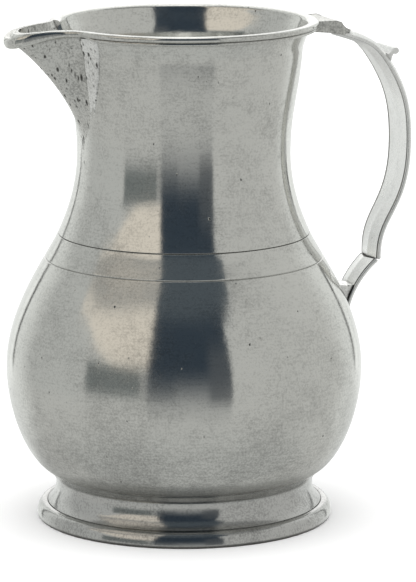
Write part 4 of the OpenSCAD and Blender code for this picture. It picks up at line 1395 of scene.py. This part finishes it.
class PITCHER_OT_stage(Operator):
    """Sets the table, the cards that the metal mirrors, and the camera"""
    bl_idname = "pitcher.stage"
    bl_label = "Studio"
    table_reach = 6.0
    table_strength = 1.7

    def execute(self, context):
        scene = context.scene
        self.make_table()
        self.make_camera(scene, scene.pitcher_studio)
        self.make_world(scene, scene.pitcher_studio)
        scene.view_settings.view_transform = "Standard"
        scene.view_settings.look = "None"
        return {"FINISHED"}

    def make_table(self):
        far = self.table_reach
        table = new_object("table", [(-far, -far, 0), (far, -far, 0), (far, far, 0), (-far, far, 0)],
                           [(0, 1, 2, 3)])
        material = new_material("Pale table")
        nodes = Nodes(material.node_tree)
        cloud = nodes.noise(nodes.add("ShaderNodeTexCoord").outputs["Object"], 3.0, 3.0)
        white = nodes.blend(cloud, (0.90, 0.90, 0.90, 1), (0.93, 0.93, 0.93, 1))
        shader = nodes.add("ShaderNodeBsdfDiffuse", white)
        nodes.add("ShaderNodeOutputMaterial", shader.outputs[0])
        table.data.materials.append(material)
        table.visible_glossy = False

    def make_camera(self, scene, studio):
        turn, dip = studio.camera_turn, studio.camera_dip
        data = bpy.data.cameras.new("Camera")
        data.sensor_fit = "VERTICAL"
        data.sensor_height = 36
        data.lens = studio.focal_length
        camera = bpy.data.objects.new("Camera", data)
        scene.collection.objects.link(camera)
        back = Vector((-sin(turn), -cos(turn), 0)) * studio.camera_distance
        aside = Vector((cos(turn), -sin(turn), 0)) * studio.camera_aside
        camera.location = back + aside + Vector((0, 0, studio.camera_height))
        forward = Vector((sin(turn) * cos(dip), cos(turn) * cos(dip), -sin(dip)))
        camera.rotation_euler = forward.to_track_quat("-Z", "Y").to_euler()
        scene.camera = camera

    def make_world(self, scene, studio):
        world = bpy.data.worlds.new("Studio")
        world.use_nodes = True
        world.node_tree.nodes.clear()
        nodes = Nodes(world.node_tree)
        white = (1, 1, 1, 1)
        mirrored = nodes.add("ShaderNodeBackground", self.cards(nodes, studio), 1.0)
        lit = nodes.add("ShaderNodeBackground", white, studio.table_light * self.table_strength)
        seen = nodes.add("ShaderNodeBackground", white, 1.0)
        path = nodes.add("ShaderNodeLightPath").outputs
        shown = mirrored.outputs[0]
        for ray, other in (("Is Diffuse Ray", lit), ("Is Camera Ray", seen)):
            shown = nodes.add("ShaderNodeMixShader", path[ray], shown, other.outputs[0]).outputs[0]
        nodes.add("ShaderNodeOutputWorld", shown)
        scene.world = world

    def cards(self, nodes, studio):
        """The cards that the metal mirrors, laid one over another. Bearings run to the
        right of the way to the camera, and heights up from level, both in degrees."""
        turn = studio.camera_turn
        ray = nodes.add("ShaderNodeTexCoord").outputs["Generated"]
        front = nodes.vectors("DOT_PRODUCT", ray, (-sin(turn), -cos(turn), 0))
        right = nodes.vectors("DOT_PRODUCT", ray, (cos(turn), -sin(turn), 0))
        bearing = nodes.times(nodes.maths("ARCTAN2", right, front), 180 / pi)
        height = nodes.times(nodes.maths("ARCSINE", nodes.split(ray)[2]), 180 / pi)
        away = nodes.maths("ABSOLUTE", bearing)
        over_foot = nodes.minus(height, nodes.ease(bearing, -80, -46, 28, 13.5))
        over_top = nodes.minus(height, nodes.ease(bearing, -80, -25, 33.2, 43))
        past_dark = nodes.minus(bearing, nodes.ease(height, 36, 44, 31, 42))

        def grey(value):
            return (value, value * 1.02, value)

        def dimmed(tint, amount):
            return [c * amount for c in tint]

        bar = [(bearing, -96, -88), (bearing, -16, -24), (over_top, -1, 1), (height, 66, 60)]
        dark = [(bearing, -25.5, -21.5), (past_dark, 1, -1), (height, -34, 16), (height, 80, 66)]
        # A colour, a strength, and the steps (value, from nothing, to full) that bound the card
        cards = [
            (dimmed(studio.pale, 1.15), 1, (bearing, 60, 150)),
            (grey(0.57), 1, (height, -22, -50), (away, 120, 95)),
            (grey(0.31), 1, (height, 44, 48)),
            (grey(0.575), 1, (bearing, -142, -132), (bearing, -62, -72), (height, -17, -11),
             (height, 44, 34)),
            (studio.shade, 0.6, (bearing, -141, -137), (bearing, -128, -133), (height, -9, -2),
             (height, 34, 20)),
            (grey(0.33), 1, *bar),
            (dimmed(studio.warm, 0.82), 0.8, *bar, (over_top, 4.5, 7)),
            (studio.shade, 1, (bearing, -67, -64), (bearing, -26, -29), (height, -15, -4),
             (height, 14, 11)),
            (grey(0.40), 1, (bearing, -29, -26), (bearing, -4, -8), (height, -14, -8), (height, 44, 40)),
            (studio.warm, 1, (over_foot, -1, 1), (over_top, 1, -1), (bearing, -90, -84),
             (bearing, -14, -18)),
            (grey(0.17), 0.5, (bearing, 15, 19), (bearing, 32, 30), (height, -20, -8), (height, 50, 40)),
            (studio.dark, 1, *dark),
            ((0.15, 0.175, 0.19), 0.45, *dark, (height, 38, 42)),
            ((0.12, 0.13, 0.14), 0.6, (bearing, 13, 20), (bearing, 32, 30), (height, -16, -8),
             (height, 34, 18)),
            (grey(0.84), 1, (away, 112, 136), (height, -34, -18)),
            (grey(1.08), 1, (away, 136, 152), (height, -16, -10)),
            (grey(0.92), 1, (away, 150, 156), (height, -16, -9)),
            (grey(0.12), 1, (away, 142.5, 144), (away, 147.5, 146), (height, -12, -7), (height, 50, 34)),
            (studio.bright, 1, (away, 160, 168), (height, 0, 5)),
            (studio.bright, 1, (height, 68, 82)),
            (grey(0.50), 1, (away, 172, 175), (height, 4, -2)),
        ]
        seen = (*studio.pale, 1)
        for tint, strength, *steps in cards:
            amount = nodes.times(*[nodes.ease(*step) for step in steps], strength)
            seen = nodes.blend(amount, seen, (*tint, 1))
        return seen



class PITCHER_PT_panel(Panel):
    """The pitcher's sizes, finishes and operators"""
    bl_idname = "PITCHER_PT_panel"
    bl_label = "Pitcher"
    bl_space_type = "VIEW_3D"
    bl_region_type = "UI"
    bl_category = "Pitcher"

    def draw(self, context):
        for title, name in SETTINGS:
            group = getattr(context.scene, name)
            box = self.layout.box()
            box.label(text=title)
            for prop in group.bl_rna.properties:
                if prop.identifier not in ("rna_type", "name"):
                    box.prop(group, prop.identifier)
        for operator in OPERATORS:
            self.layout.operator(operator.bl_idname)


SETTINGS = [("Vessel", "pitcher_vessel"), ("Spout", "pitcher_spout"), ("Handle", "pitcher_handle"),
            ("Finish", "pitcher_finish"), ("Studio", "pitcher_studio")]
GROUPS = [PitcherVessel, PitcherSpout, PitcherHandle, PitcherFinish, PitcherStudio]
OPERATORS = [PITCHER_OT_trees, PITCHER_OT_turned_walls, PITCHER_OT_neck, PITCHER_OT_spout,
             PITCHER_OT_handle, PITCHER_OT_stage]


def register():
    for kind in GROUPS + OPERATORS + [PITCHER_PT_panel]:
        bpy.utils.register_class(kind)
    for setting, group in zip(SETTINGS, GROUPS):
        setattr(bpy.types.Scene, setting[1], PointerProperty(type=group))


def unregister():
    for setting in SETTINGS:
        delattr(bpy.types.Scene, setting[1])
    for kind in reversed(GROUPS + OPERATORS + [PITCHER_PT_panel]):
        bpy.utils.unregister_class(kind)


def main():
    register()
    bpy.ops.pitcher.trees()
    bpy.ops.pitcher.turned_walls()
    bpy.ops.pitcher.neck()
    bpy.ops.pitcher.spout()
    bpy.ops.pitcher.handle()
    bpy.ops.pitcher.stage()


if __name__ == "__main__":
    main()
